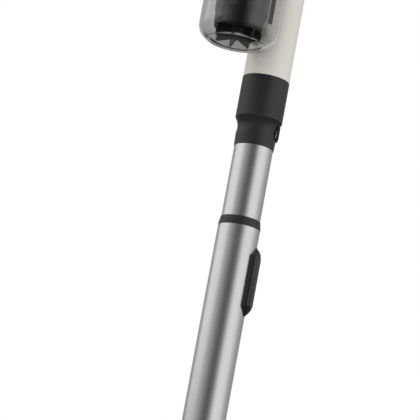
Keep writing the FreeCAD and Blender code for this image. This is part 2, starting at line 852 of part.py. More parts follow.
def handle():
    body = piece("handle_shell")
    front = "-(binOffset - shroudOd / 2)"
    prism(
        body,
        "X",
        [
            [
                (front, neckTop),
                ("-neckOd / 2", neckTop),
                ("neckOd / 2", neckTop),
                ("neckOd / 2 - neckWall", f"{openFoot} - bridgeThick"),
                ("handleBack", f"{openFoot} - bridgeThick"),
                ("handleBack + housingWall", f"{deckTop} - deckThick / 3"),
                ("handleBack - deckThick / 2", deckTop),
                (front, deckTop),
            ]
        ],
        "-handleWide / 2",
        "handleWide / 2",
    )
    soften(
        body,
        "deckThick * 0.45",
        lambda e: runs(e, "x") and e.CenterOfMass.y > value("handleBack - deckThick"),
    )
    opening = ("box", "neckOd / 2 + spineThick", openFoot, gripFront, openTop)
    prism(body, "X", [opening], "-handleWide", "handleWide", cut=True)
    inner = value("neckOd / 2 + spineThick"), value(gripFront)
    soften(
        body,
        "gripDeep / 3",
        lambda e: runs(e, "x")
        and (abs(e.CenterOfMass.y - inner[0]) < TOUCH or abs(e.CenterOfMass.y - inner[1]) < TOUCH),
    )
    neck = ("round", 0, 0, "neckOd / 2 + slideFit")
    prism(body, "Z", [neck], f"{openFoot} - bridgeThick - capRise", neckTop, cut=True)
    prism(
        body,
        "Z",
        [("round", 0, "-binOffset", "housingOd / 2 + partGap")],
        binTop,
        f"{deckTop} + capRise",
        cut=True,
    )

    def outer_edge(edge):
        middle = edge.CenterOfMass
        on_side = lies(edge, "x", "handleWide / 2") or lies(edge, "x", "-handleWide / 2")
        behind = middle.y > value("neckOd / 2 + slideFit * 3")
        above = middle.z > value(deckTop) - TOUCH
        return on_side and (behind or above)

    soften(body, "handleRound", outer_edge)
    lens = ("box", "-lensWide / 2", "lensWide / 3", "lensWide / 2", "lensWide / 3 + lensLen")
    prism(body, "Z", [lens], f"{deckTop} - housingWall", f"{deckTop} + housingWall", cut=True)
    power_y = "lensWide / 3 + lensLen + powerOd"
    wells = [("round", 0, power_y, "powerOd / 2 + partGap")]
    mode_y = f"{power_y} + powerOd / 2 + modeOd"
    wells.append(("round", "modeSpread", mode_y, "modeOd / 2 + partGap"))
    wells.append(("round", "-modeSpread", mode_y, "modeOd / 2 + partGap"))
    prism(body, "Z", wells, f"{deckTop} - housingWall * 2", f"{deckTop} + housingWall", cut=True)
    cavity = (
        "box", "-neckOd / 4", f"{neckTop} + housingWall", "neckOd * 0.9", f"{deckTop} - housingWall * 3"
    )
    prism(
        body,
        "X",
        [cavity],
        "-handleWide / 2 + housingWall * 1.5",
        "handleWide / 2 - housingWall * 1.5",
        cut=True,
    )
    pad = (
        "box",
        "-handleWide / 4",
        f"{openFoot} + gripDeep / 3 + partGap",
        "handleWide / 4",
        f"{openTop} - gripDeep / 3 - partGap",
    )
    prism(body, "Y", [pad], f"{gripFront} - partGap", f"{gripFront} + housingWall / 2", cut=True)

    grip = piece("grip_pad")
    prism(grip, "Y", [pad], f"{gripFront} - partGap * 2", f"{gripFront} + housingWall / 2")

    board = piece("control_board")
    half = "handleWide / 2 - housingWall * 1.5 - partGap"
    place = ("box", f"-({half})", "-neckOd / 4 + partGap", half, "neckOd * 0.9 - partGap")
    prism(board, "Z", [place], f"{neckTop} + housingWall", f"{neckTop} + housingWall + slideFit * 16")

    glass = piece("display_lens")
    fit = "slideFit / 2"
    face = (
        "box",
        f"-lensWide / 2 + {fit}",
        f"lensWide / 3 + {fit}",
        f"lensWide / 2 - {fit}",
        f"lensWide / 3 + lensLen - {fit}",
    )
    prism(glass, "Z", [face], f"{deckTop} - housingWall", f"{deckTop} + slideFit * 2")

    controls = [
        ("power_button", 0, power_y, "powerOd / 2"),
        ("mode_up_button", "modeSpread", mode_y, "modeOd / 2"),
        ("mode_down_button", "-modeSpread", mode_y, "modeOd / 2"),
    ]
    for label, x, y, radius in controls:
        button = piece(label, (x, y, f"{deckTop} - housingWall"))
        turned(
            button,
            [
                (0, "-partGap"),
                (radius, "-partGap"),
                (radius, "housingWall + partGap * 2"),
                (f"{radius} - partGap * 2", "housingWall + partGap * 4"),
                (0, "housingWall + partGap * 3"),
            ],
        )


def battery():
    case = piece("battery_case")
    back = "packFront + cellLen + packWall * 3"
    face = ("box", "-packWide / 2", "packFront", "packWide / 2", back)
    prism(case, "Z", [face], packFoot, packTop)
    soften(case, "packWall * 4", lambda e: runs(e, "z"))
    soften(case, "packWall * 1.5", lambda e: lies(e, "z", packFoot) or lies(e, "z", packTop))
    space = (
        "box",
        "-packWide / 2 + packWall",
        "packFront + packWall",
        "packWide / 2 - packWall",
        f"{back} - packWall",
    )
    prism(case, "Z", [space], f"{packFoot} + packWall", f"{packTop} - packWall * 2", cut=True)
    plug = ("box", "-cellOd / 2", "packFront + cellOd", "cellOd / 2", "packFront + cellOd * 2.5")
    prism(case, "Z", [plug], f"{packTop} - packWall * 3", f"{packTop} + packWall", cut=True)
    key = (
        "box",
        "-cellOd / 2 - partGap",
        f"{packTop} - cellOd",
        "cellOd / 2 + partGap",
        f"{packTop} - packWall * 3",
    )
    prism(case, "Y", [key], f"{back} - packWall * 1.5", f"{back} + packWall", cut=True)

    cells = piece("battery_cells")
    across = "(cellOd + slideFit)"
    spots = []
    for column in (-1, 0, 1):
        for line in (0, 1):
            x = f"{column} * {across}"
            z = f"{packFoot} + packWall + cellOd / 2 + {line} * {across}"
            spots.append(("round", x, z, "cellOd / 2"))
    prism(cells, "Y", spots, "packFront + packWall * 1.5", "packFront + packWall * 1.5 + cellLen")

    socket = piece("battery_terminal")
    fit = "partGap"
    face = (
        "box",
        f"-cellOd / 2 + {fit}",
        f"packFront + cellOd + {fit}",
        f"cellOd / 2 - {fit}",
        f"packFront + cellOd * 2.5 - {fit}",
    )
    prism(socket, "Z", [face], f"{packTop} - packWall * 1.9", f"{packTop} + partGap")

    release = piece("battery_release")
    face = (
        "box",
        "-cellOd / 2",
        f"{packTop} - cellOd + partGap",
        "cellOd / 2",
        f"{packTop} - packWall * 3 - partGap",
    )
    prism(release, "Y", [face], f"{back} - packWall / 4", f"{back} + packWall * 0.6")
    soften(release, "packWall", lambda e: runs(e, "y"))

    contacts = piece("charging_contacts")
    low = f"{packFoot} + packWall * 3"
    dots = [("round", f"{side} * cellOd / 2", f"{low} + packWall", "packWall * 1.5") for side in (-1, 1)]
    prism(contacts, "Y", dots, back, f"{back} + packWall / 4")


# Lower wand joint and yoke


def lower_joint():
    collar = piece("lower_collar", (0, 0, "collarSeat"))
    outer = "lowerOd / 2 + neckWall * 0.8"
    bore = "spigotOd / 2 - 2 * slideFit"
    top = "lowerBase - collarSeat"
    reach = f"{top} + upperGrip"
    turned(
        collar,
        [
            (bore, 0),
            (f"{outer} - partGap * 3", 0),
            (outer, "partGap * 3"),
            (outer, f"{reach} - neckWall"),
            ("lowerOd / 2 + partGap * 2", reach),
            ("lowerOd / 2", reach),
            ("lowerOd / 2", top),
            (f"{bore} - neckWall", top),
            (f"{bore} - neckWall", f"{top} - neckWall * 2"),
            (bore, f"{top} - neckWall * 2"),
        ],
    )
    low = "neckWall * 2"
    well = (
        "box",
        "-releaseWide / 2 - partGap",
        f"{low} - partGap",
        "releaseWide / 2 + partGap",
        f"{low} + releaseTall + partGap",
    )
    prism(collar, "Y", [well], bore, "lowerOd", cut=True)

    button = piece("head_release_button", (0, 0, "collarSeat"))
    face = ("box", "-releaseWide / 2", low, "releaseWide / 2", f"{low} + releaseTall")
    prism(button, "Y", [face], f"{outer} - partGap * 5", f"{outer} + partGap * 5")
    soften(button, "partGap * 5", lambda e: runs(e, "y"))
    soften(button, "partGap * 2", lambda e: lies(e, "y", f"{outer} + partGap * 5"))

    swivel = piece("neck_swivel", (0, 0, "stemTop"))
    cuff = "lowerOd / 2"
    seat = "collarSeat - stemTop"
    socket = "stemRad - neckWall * 0.6 + slideFit"
    deep = "neckWall * 9"
    high = f"{seat} + lowerBase - collarSeat - neckWall * 3"
    spigot = f"{bore} - slideFit"
    turned(
        swivel,
        [
            (socket, "partGap"),
            ("stemRad + neckWall * 0.8", "partGap"),
            (cuff, "neckWall * 3"),
            (cuff, seat),
            (spigot, seat),
            (spigot, f"{high} - neckWall / 2"),
            (f"{spigot} - neckWall / 4", high),
            (f"{spigot} - neckWall", high),
            (f"{spigot} - neckWall", f"{seat} - neckWall"),
            (f"{socket} - neckWall", f"{deep} + neckWall"),
            (f"{socket} - neckWall", deep),
            (socket, deep),
        ],
    )


def yoke():
    body = piece("yoke", (0, 0, 0))
    prism(
        body,
        "X",
        [("round", 0, "pivotZ", "barrelRad")],
        "-notchHalf + partGap * 2",
        "notchHalf - partGap * 2",
    )
    prism(body, "Z", [("round", 0, 0, "stemRad")], "pivotZ", "stemTop")
    neck = "stemRad - neckWall * 0.6"
    prism(body, "Z", [("round", 0, 0, neck)], "stemTop - slideFit / 100", "stemTop + neckWall * 8.5")
    prism(body, "Z", [("round", 0, 0, f"{neck} - neckWall")], "pivotZ", "stemTop + neckWall * 10", cut=True)
    window = (
        "box", "-barrelRad * 0.7", "pivotZ - barrelRad / 2", "barrelRad * 0.7", "pivotZ + barrelRad / 2"
    )
    prism(body, "Y", [window], "-barrelRad * 2", 0, cut=True)
    pin = ("round", 0, "pivotZ", "pivotRad + slideFit / 2")
    prism(body, "X", [pin], "notchHalf - barrelRad / 2", "notchHalf + barrelRad", cut=True)
    prism(body, "X", [pin], "-notchHalf - barrelRad", "-notchHalf + barrelRad / 2", cut=True)

    pins = piece("pivot_pins")
    reach = "notchHalf + barrelRad * 0.7"
    start = "notchHalf - barrelRad / 2 + partGap"
    spot = ("round", 0, "pivotZ", "pivotRad")
    one = prism(pins, "X", [spot], start, reach)
    mirrored(pins, one)


# Floor head


def head_outline(rear, top):
    """The head's side outline: round over the roller, falling towards the rear."""
    front = f"rollerY - {tunnelOut}"
    return [
        (front, "soleTop"),
        (front, "rollerZ", f"-{tunnelOut}"),
        ("rollerY", f"rollerZ + {tunnelOut}"),
        ("barRear", f"{top} + coverWall * 2"),
        (rear, top),
        (rear, "soleTop"),
    ]


def head_cover():
    body = piece("head_cover")
    prism(body, "X", [head_outline("barRear", "podTop")], "-headHalf", "headHalf")
    pod = [
        ("barRear - coverWall", "soleTop"),
        ("podRear", "soleTop"),
        ("podRear", "podTop - wheelRad / 2"),
        ("podRear - wheelRad / 2", "podTop"),
        ("barRear", "podTop"),
        ("barRear - coverWall", "podTop"),
    ]
    prism(body, "X", [pod], "-podHalf", "podHalf")
    soften(body, "wheelRad / 2", lambda e: runs(e, "z") and e.CenterOfMass.y > value("podRear") - TOUCH)
    prism(body, "X", [("round", "rollerY", "rollerZ", "tunnelRad")], "-headHalf", "headHalf", cut=True)

    notch = ("box", "-notchHalf", "notchFront", "notchHalf", "podRear * 2")
    prism(body, "Z", [notch], 0, "podTop * 2", cut=True)
    duct = ("box", "-barrelRad", "rollerZ - barrelRad", "barrelRad", "rollerZ + barrelRad / 2")
    prism(body, "Y", [duct], "rollerY", "barRear", cut=True)

    bay_front = "rollerY + tunnelRad + coverWall * 2"
    bay = ("box", "notchHalf + coverWall", bay_front, "headHalf - coverWall", "barRear - coverWall")
    other = ("box", "-headHalf + coverWall", bay_front, "-notchHalf - coverWall", "barRear - coverWall")
    prism(body, "Z", [bay, other], 0, "podTop - coverWall / 2", cut=True)
    belt = (
        "box",
        "rollerY",
        "rollerZ - rollerPulleyRad - coverWall",
        "motorY",
        "rollerZ + rollerPulleyRad + coverWall",
    )
    prism(body, "X", [belt], f"{beltX} - coverWall / 2", "headHalf - coverWall / 4", cut=True)

    well = ("round", "wheelY", "wheelRad", "wheelRad + partGap * 4")
    low = "wheelX - wheelWide / 2 - partGap * 4"
    first = prism(body, "X", [well], low, "wheelX + wheelWide / 2 + partGap * 4", cut=True)
    axle = ("round", "wheelY", "wheelRad", "axleRad")
    second = prism(body, "X", [axle], "wheelX - wheelWide", "wheelX + wheelWide", cut=True)
    third = prism(
        body, "X", [("round", 0, "pivotZ", "pivotRad")], 0, "notchHalf + barrelRad * 0.7", cut=True
    )
    mirrored(body, first, second, third)

    holes = []
    for side in (-1, 1):
        for y in ("screwFront", "screwRear"):
            x = f"{side} * screwX"
            holes.append(("round", x, y, "screwRad"))
    prism(body, "Z", holes, "soleTop - screwRad", "soleTop + screwRad * 6", cut=True)
    return holes


def side_covers():
    for label, side in (("side_cover_left", 1), ("side_cover_right", -1)):
        body = piece(label)
        low, high = ("headHalf", headEnd) if side > 0 else (f"-{headEnd}", "-headHalf")
        gap = "headHalf + slideFit" if side > 0 else "-headHalf - slideFit"
        bounds = (gap, high) if side > 0 else (low, gap)
        prism(body, "X", [head_outline("barRear", "podTop")], *bounds)
        face = high if side > 0 else low
        soften(
            body,
            "endThick / 2",
            lambda e: lies(e, "x", face) and e.CenterOfMass.z > value("soleTop") + TOUCH,
            "Chamfer",
        )
        hub = ("round", "rollerY", "rollerZ", "pivotRad")
        tip = "rollerHalf - coreRad / 2"
        inner = (tip, gap) if side > 0 else (gap, f"-({tip})")
        prism(body, "X", [hub], *inner)


def sole():
    body = piece("sole_plate")
    front = f"rollerY - {tunnelOut}"
    plate = [
        ("-headHalf", front),
        ("headHalf", front),
        ("headHalf", "barRear"),
        ("podHalf", "barRear"),
        ("podHalf", "podRear"),
        ("-podHalf", "podRear"),
        ("-podHalf", "barRear"),
        ("-headHalf", "barRear"),
    ]
    prism(body, "Z", [plate], soleFoot, "soleTop")
    mouth = ("box", "-mouthHalf", "rollerY - tunnelRad * 0.86", "mouthHalf", "rollerY + tunnelRad * 0.8")
    prism(body, "Z", [mouth], 0, "soleTop + soleThick", cut=True)
    low = "wheelX - wheelWide / 2 - partGap * 4"
    high = "wheelX + wheelWide / 2 + partGap * 4"
    back = "podRear + wheelRad"
    wells = [("box", low, "wheelY - wheelRad - partGap * 4", high, back)]
    wells.append(("box", f"-({high})", "wheelY - wheelRad - partGap * 4", f"-({low})", back))
    prism(body, "Z", wells, 0, "soleTop + soleThick", cut=True)
    return body


def sole_screws(body, holes):
    """Countersinks and holes in the sole, and the screws in them."""
    heads = [(kind, x, y, "screwRad * 2") for kind, x, y, _ in holes]
    prism(body, "Z", heads, 0, f"{soleFoot} + soleThick / 2", cut=True)
    prism(body, "Z", holes, 0, "soleTop + soleThick", cut=True)
    screws = piece("sole_screws")
    inset = [(kind, x, y, "screwRad * 2 - slideFit") for kind, x, y, _ in holes]
    shanks = [(kind, x, y, "screwRad - slideFit / 2") for kind, x, y, _ in holes]
    prism(screws, "Z", inset, f"{soleFoot} + slideFit", f"{soleFoot} + soleThick / 2")
    prism(screws, "Z", shanks, f"{soleFoot} + soleThick / 2 - slideFit / 100", "soleTop + screwRad * 5")


def sole_pads():
    pads = piece("glide_pads")
    front = f"rollerY - {tunnelOut} + coverWall"
    spot = ("box", "mouthHalf + partGap", front, "headHalf - partGap", f"{front} + tunnelRad")
    first = prism(pads, "Z", [spot], 0, soleFoot)
    mirrored(pads, first)

    strip = piece("seal_strip")
    back = "rollerY + tunnelRad * 0.8"
    line = ("box", "-mouthHalf", f"{back} + coverWall", "mouthHalf", f"{back} + coverWall * 3")
    prism(strip, "Z", [line], "partGap * 2", soleFoot)

    bumper = piece("front_bumper")
    face = f"rollerY - {tunnelOut}"
    bar = (
        "box",
        f"{face} - coverWall",
        "soleTop + partGap",
        f"{face} - slideFit / 2",
        "soleTop + coverWall * 3",
    )
    prism(bumper, "X", [bar], "-headHalf + coverWall", "headHalf - coverWall")
    soften(bumper, "coverWall * 0.6", lambda e: lies(e, "y", f"{face} - coverWall"))


def roller():
    core = along_x("roller_core", 0, "rollerY", "rollerZ")
    prism(core, "Z", [("round", 0, 0, "coreRad")], "-rollerHalf", "rollerHalf")
    for low, high in (("rollerHalf - coreRad", "rollerHalf"), ("-rollerHalf", "-rollerHalf + coreRad")):
        prism(core, "Z", [("round", 0, 0, "pivotRad * 2")], low, high, cut=True)

    tufts = along_x("roller_bristles", 0, "rollerY", "rollerZ")
    strip = ("box", "coreRad - soleThick", "-soleThick", "bristleRad - partGap", "soleThick")
    one = prism(tufts, "Z", [strip], "-rollerHalf + soleThick", "rollerHalf - soleThick")
    ring(tufts, one, 4)
    prism(tufts, "Z", [("round", 0, 0, "coreRad")], "-rollerHalf", "rollerHalf", cut=True)

    ends = along_x("roller_bearings", 0, "rollerY", "rollerZ")
    seat = "pivotRad * 2 - slideFit"
    for low, high in (
        ("rollerHalf - coreRad / 2", "rollerHalf - partGap"),
        ("-rollerHalf + partGap", "-rollerHalf + coreRad / 2"),
    ):
        prism(ends, "Z", [("round", 0, 0, seat)], low, high)
    prism(ends, "Z", [("round", 0, 0, "pivotRad + slideFit / 2")], "-rollerHalf", "rollerHalf", cut=True)

    pulley = along_x("roller_pulley", 0, "rollerY", "rollerZ")
    rim = "rollerPulleyRad"
    prism(pulley, "Z", [("round", 0, 0, rim)], beltX, f"{beltX} + beltWide")
    prism(pulley, "Z", [("round", 0, 0, "pivotRad + slideFit")], "rollerHalf", "headHalf", cut=True)
    prism(pulley, "Z", [("round", 0, 0, "pivotRad * 2")], "rollerHalf", beltX)
    prism(
        pulley,
        "Z",
        [("round", 0, 0, "pivotRad + slideFit")],
        "mouthHalf - beltWide",
        "headHalf",
        cut=True,
    )


def head_drive():
    small = along_x("motor_pulley", 0, "motorY", "rollerZ")
    prism(small, "Z", [("round", 0, 0, "motorPulleyRad")], beltX, f"{beltX} + beltWide")
    prism(small, "Z", [("round", 0, 0, "shaftOd / 2")], "headHalf - notchHalf", beltX)

    motor = along_x("head_motor", 0, "motorY", "rollerZ")
    prism(motor, "Z", [("round", 0, 0, "driveRad")], "notchHalf + coverWall", f"{beltX} - coverWall")
    prism(
        motor,
        "Z",
        [("round", 0, 0, "shaftOd / 2 + slideFit")],
        "headHalf - notchHalf - coverWall",
        "headHalf",
        cut=True,
    )
    soften(
        motor,
        "coverWall",
        lambda e: lies(e, "z", f"{beltX} - coverWall") and e.Length > value("driveRad") * 5,
    )

    belt = along_x("drive_belt", 0, 0, "rollerZ")
    big = "(rollerPulleyRad + slideFit)"
    little = "(motorPulleyRad + slideFit)"
    low = f"{beltX} + slideFit"
    high = f"{beltX} + beltWide - slideFit"

    def hull(extra):
        """The belt's path as two arcs and two tangent runs, in the plane of the pulleys."""
        reach = "(motorY - rollerY)"
        slope = f"(({big}) - ({little})) / {reach}"
        rise = f"sqrt(1 - ({slope})^2)"
        wide = f"({big} + {extra})"
        thin = f"({little} + {extra})"
        return [
            (f"-{wide} * {rise}", f"rollerY + {wide} * {slope}", wide),
            (0, f"rollerY - {wide}", wide),
            (f"{wide} * {rise}", f"rollerY + {wide} * {slope}"),
            (f"{thin} * {rise}", f"motorY + {thin} * {slope}", thin),
            (0, f"motorY + {thin}", thin),
            (f"-{thin} * {rise}", f"motorY + {thin} * {slope}"),
        ]

    prism(belt, "Z", [hull("beltThick")], low, high)
    prism(belt, "Z", [hull("0")], low, high, cut=True)


def wheels():
    for label, side in (("rear_wheel_left", 1), ("rear_wheel_right", -1)):
        wheel = along_x(label, f"{side} * wheelX", "wheelY", "wheelRad")
        prism(wheel, "Z", [("round", 0, 0, "wheelRad")], "-wheelWide / 2", "wheelWide / 2")
        prism(wheel, "Z", [("round", 0, 0, "axleRad + slideFit / 2")], "-wheelWide", "wheelWide", cut=True)
        soften(wheel, "soleThick / 2", lambda e: e.Length > value("wheelRad") * 6)

    axles = piece("wheel_axles")
    spot = ("round", "wheelY", "wheelRad", "axleRad")
    first = prism(axles, "X", [spot], "wheelX - wheelWide", "wheelX + wheelWide")
    mirrored(axles, first)


def build():
    for make in (lower_tube, telescope_ring, upper_tube, slide_shoe, wand_collar, latch):
        make()
    for make in (neck_duct, dust_bin, bin_seal, cyclone, motor_housing, filters_and_motor, filter_cap):
        make()
    for make in (handle, battery, lower_joint, yoke):
        make()
    holes = head_cover()
    side_covers()
    sole_screws(sole(), holes)
    for make in (sole_pads, roller, head_drive, wheels):
        make()


def write_out():
    """Checks every object, then writes one STEP file for each piece."""
    doc.recompute()
    bad = [o.Name for o in doc.Objects if {"Invalid", "Error"} & set(o.State)]
    bad += [b.Label for b in nodes if b.Shape.isNull() or not b.Shape.isValid() or not b.Shape.Solids]
    if bad:
        sys.exit(f"not built: {bad}")
    os.makedirs("parts", exist_ok=True)
    for body in nodes:
        body.Shape.exportStep(f"parts/{body.Label}.step")


build()
write_out()
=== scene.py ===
import json
import math
import bmesh
import bpy
from mathutils import Matrix, Vector


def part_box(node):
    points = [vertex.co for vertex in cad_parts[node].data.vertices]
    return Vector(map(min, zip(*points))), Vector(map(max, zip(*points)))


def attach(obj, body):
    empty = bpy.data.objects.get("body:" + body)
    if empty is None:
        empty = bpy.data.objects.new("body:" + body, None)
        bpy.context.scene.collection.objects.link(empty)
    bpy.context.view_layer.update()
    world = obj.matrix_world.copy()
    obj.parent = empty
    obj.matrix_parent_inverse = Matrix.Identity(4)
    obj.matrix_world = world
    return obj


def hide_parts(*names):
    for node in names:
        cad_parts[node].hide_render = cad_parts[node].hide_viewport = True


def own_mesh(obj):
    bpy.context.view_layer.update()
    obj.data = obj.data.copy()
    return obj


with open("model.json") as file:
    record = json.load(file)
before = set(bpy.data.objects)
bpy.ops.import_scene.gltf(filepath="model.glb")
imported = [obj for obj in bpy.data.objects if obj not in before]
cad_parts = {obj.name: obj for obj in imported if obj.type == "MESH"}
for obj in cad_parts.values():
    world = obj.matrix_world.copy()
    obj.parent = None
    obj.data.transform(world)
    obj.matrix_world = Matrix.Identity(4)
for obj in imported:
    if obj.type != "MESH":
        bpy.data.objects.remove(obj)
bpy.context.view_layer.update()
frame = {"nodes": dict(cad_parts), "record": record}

scene = bpy.context.scene
mm = 0.001

# camera, light and ground

cameraSettings = {
    "azimuth": 35.0,      # degrees round from the front, towards the wand's latch
    "elevation": -13.0,   # the lens is lower than what it looks at
    "distance": 2.741,
    "roll": 10.55,        # degrees, which makes the wand lean
    "aimHeight": 0.6675,
    "aimAside": (-0.03714, -0.02858),
    "lens": 238.5,
}


def placeCamera(s):
    azimuth, elevation = math.radians(s["azimuth"]), math.radians(s["elevation"])
    level = math.cos(elevation)
    back = Vector((math.sin(azimuth) * level, -math.cos(azimuth) * level, math.sin(elevation)))
    right = Vector((0, 0, 1)).cross(back).normalized()
    up = back.cross(right)
    roll = math.radians(s["roll"])
    rolledRight = right * math.cos(roll) + up * math.sin(roll)
    rolledUp = up * math.cos(roll) - right * math.sin(roll)
    aim = Vector((0, 0, s["aimHeight"])) + rolledRight * s["aimAside"][0] + rolledUp * s["aimAside"][1]
    data = bpy.data.cameras.new("camera")
    data.lens = s["lens"]
    data.sensor_width = 36
    data.clip_end = 60
    camera = bpy.data.objects.new("camera", data)
    turn = Matrix((rolledRight, rolledUp, back)).transposed()
    camera.matrix_world = Matrix.Translation(aim + back * s["distance"]) @ turn.to_4x4()
    scene.collection.objects.link(camera)
    scene.camera = camera


placeCamera(cameraSettings)
print("camera placed")


def startMaterial(name, colour, roughness, metallic=0.0, sockets=None):
    material = bpy.data.materials.new(name)
    material.use_nodes = True
    tree = material.node_tree
    tree.nodes.clear()
    out = tree.nodes.new("ShaderNodeOutputMaterial")
    shader = tree.nodes.new("ShaderNodeBsdfPrincipled")
    tree.links.new(shader.outputs[0], out.inputs["Surface"])
    shader.inputs["Base Color"].default_value = (*colour, 1)
    shader.inputs["Roughness"].default_value = roughness
    shader.inputs["Metallic"].default_value = metallic
    for socket, value in (sockets or {}).items():
        shader.inputs[socket].default_value = value
    return material, shader


def addNoise(tree, scale, stretch, detail):
    place = tree.nodes.new("ShaderNodeTexCoord")
    mapping = tree.nodes.new("ShaderNodeMapping")
    mapping.inputs["Scale"].default_value = stretch
    noise = tree.nodes.new("ShaderNodeTexNoise")
    noise.inputs["Scale"].default_value = scale
    noise.inputs["Detail"].default_value = detail
    tree.links.new(place.outputs["Object"], mapping.inputs["Vector"])
    tree.links.new(mapping.outputs[0], noise.inputs["Vector"])
    return noise


# grain drives a small change of colour and a bump, cloud a slow change of colour and of gloss
def addGrain(material, shader, s):
    tree = material.node_tree
    colour = shader.inputs["Base Color"].default_value[:3]
    grain = addNoise(tree, s["scale"], s.get("stretch", (1, 1, 1)), 4.0)
    cloud = addNoise(tree, s.get("cloudScale", 35), (1, 1, 1), 2.0)
    blend = tree.nodes.new("ShaderNodeMath")
    blend.operation = "MULTIPLY_ADD"
    blend.inputs[1].default_value = 0.5
    half = tree.nodes.new("ShaderNodeMath")
    half.operation = "MULTIPLY"
    half.inputs[1].default_value = 0.5
    tree.links.new(cloud.outputs["Fac"], half.inputs[0])
    tree.links.new(grain.outputs["Fac"], blend.inputs[0])
    tree.links.new(half.outputs[0], blend.inputs[2])
    ramp = tree.nodes.new("ShaderNodeValToRGB")
    for element, place, side in zip(ramp.color_ramp.elements, (0.35, 0.65), (-1, 1)):
        element.position = place
        element.color = [min(1, c * (1 + side * s["spread"])) for c in colour] + [1]
    tree.links.new(blend.outputs[0], ramp.inputs["Fac"])
    tree.links.new(ramp.outputs["Color"], shader.inputs["Base Color"])
    level = shader.inputs["Roughness"].default_value
    gloss = tree.nodes.new("ShaderNodeMapRange")
    gloss.inputs["To Min"].default_value = max(0.0, level - s["glossSpread"])
    gloss.inputs["To Max"].default_value = min(1.0, level + s["glossSpread"])
    tree.links.new(cloud.outputs["Fac"], gloss.inputs["Value"])
    tree.links.new(gloss.outputs["Result"], shader.inputs["Roughness"])
    dent = tree.nodes.new("ShaderNodeBump")
    dent.inputs["Strength"].default_value = s["bump"]
    dent.inputs["Distance"].default_value = s.get("depth", 0.05) * mm
    tree.links.new(grain.outputs["Fac"], dent.inputs["Height"])
    tree.links.new(dent.outputs["Normal"], shader.inputs["Normal"])


studioSettings = {
    "skyStrength": 1.0,
    "groundColour": (0.86, 0.86, 0.85),
    "groundHalf": 26.0,
    "tentRadius": 3.5,
    "tentHeight": 6.0,
    "tentSides": 96,
    "floorLevel": 0.06,
    # degrees round from the lens, brightness
    "tent": (
        (-180, 0.40), (-126, 0.40), (-118, 1.0), (-66, 1.0), (-58, 0.62), (-42, 0.42),
        (-22, 0.21), (-8, 0.11), (6, 0.09), (20, 0.25), (36, 0.90), (44, 1.0),
        (78, 0.95), (98, 0.62), (122, 0.36), (180, 0.40),
    ),
    "floorGap": 0.002,
    "flag": {"from": -135, "to": -55, "step": 5, "radius": 3.3, "foot": 0.01, "height": 0.82, "level": 0.06},
}


def around(radius, degrees, height):
    angle = math.radians(degrees + cameraSettings["azimuth"] - 90)
    return radius * math.cos(angle), radius * math.sin(angle), height


# for what only metal and glass show
def hideFromLens(card):
    for ray in ("camera", "diffuse", "shadow"):
        setattr(card, "visible_" + ray, False)


def darkCard(name, rows, level):
    mesh = bpy.data.meshes.new(name)
    count = len(rows[0])
    faces = [tuple(range(count))]
    if len(rows) > 1:
        faces = [(k, k + 1, count + k + 1, count + k) for k in range(count - 1)]
    mesh.from_pydata([point for row in rows for point in row], [], faces)
    card = bpy.data.objects.new(name, mesh)
    scene.collection.objects.link(card)
    hideFromLens(card)
    paint = bpy.data.materials.new(name + "Light")
    paint.use_nodes = True
    nodes, links = paint.node_tree.nodes, paint.node_tree.links
    nodes.clear()
    dim = nodes.new("ShaderNodeEmission")
    dim.inputs["Color"].default_value = (level, level, level, 1)
    links.new(dim.outputs[0], nodes.new("ShaderNodeOutputMaterial").inputs["Surface"])
    mesh.materials.append(paint)


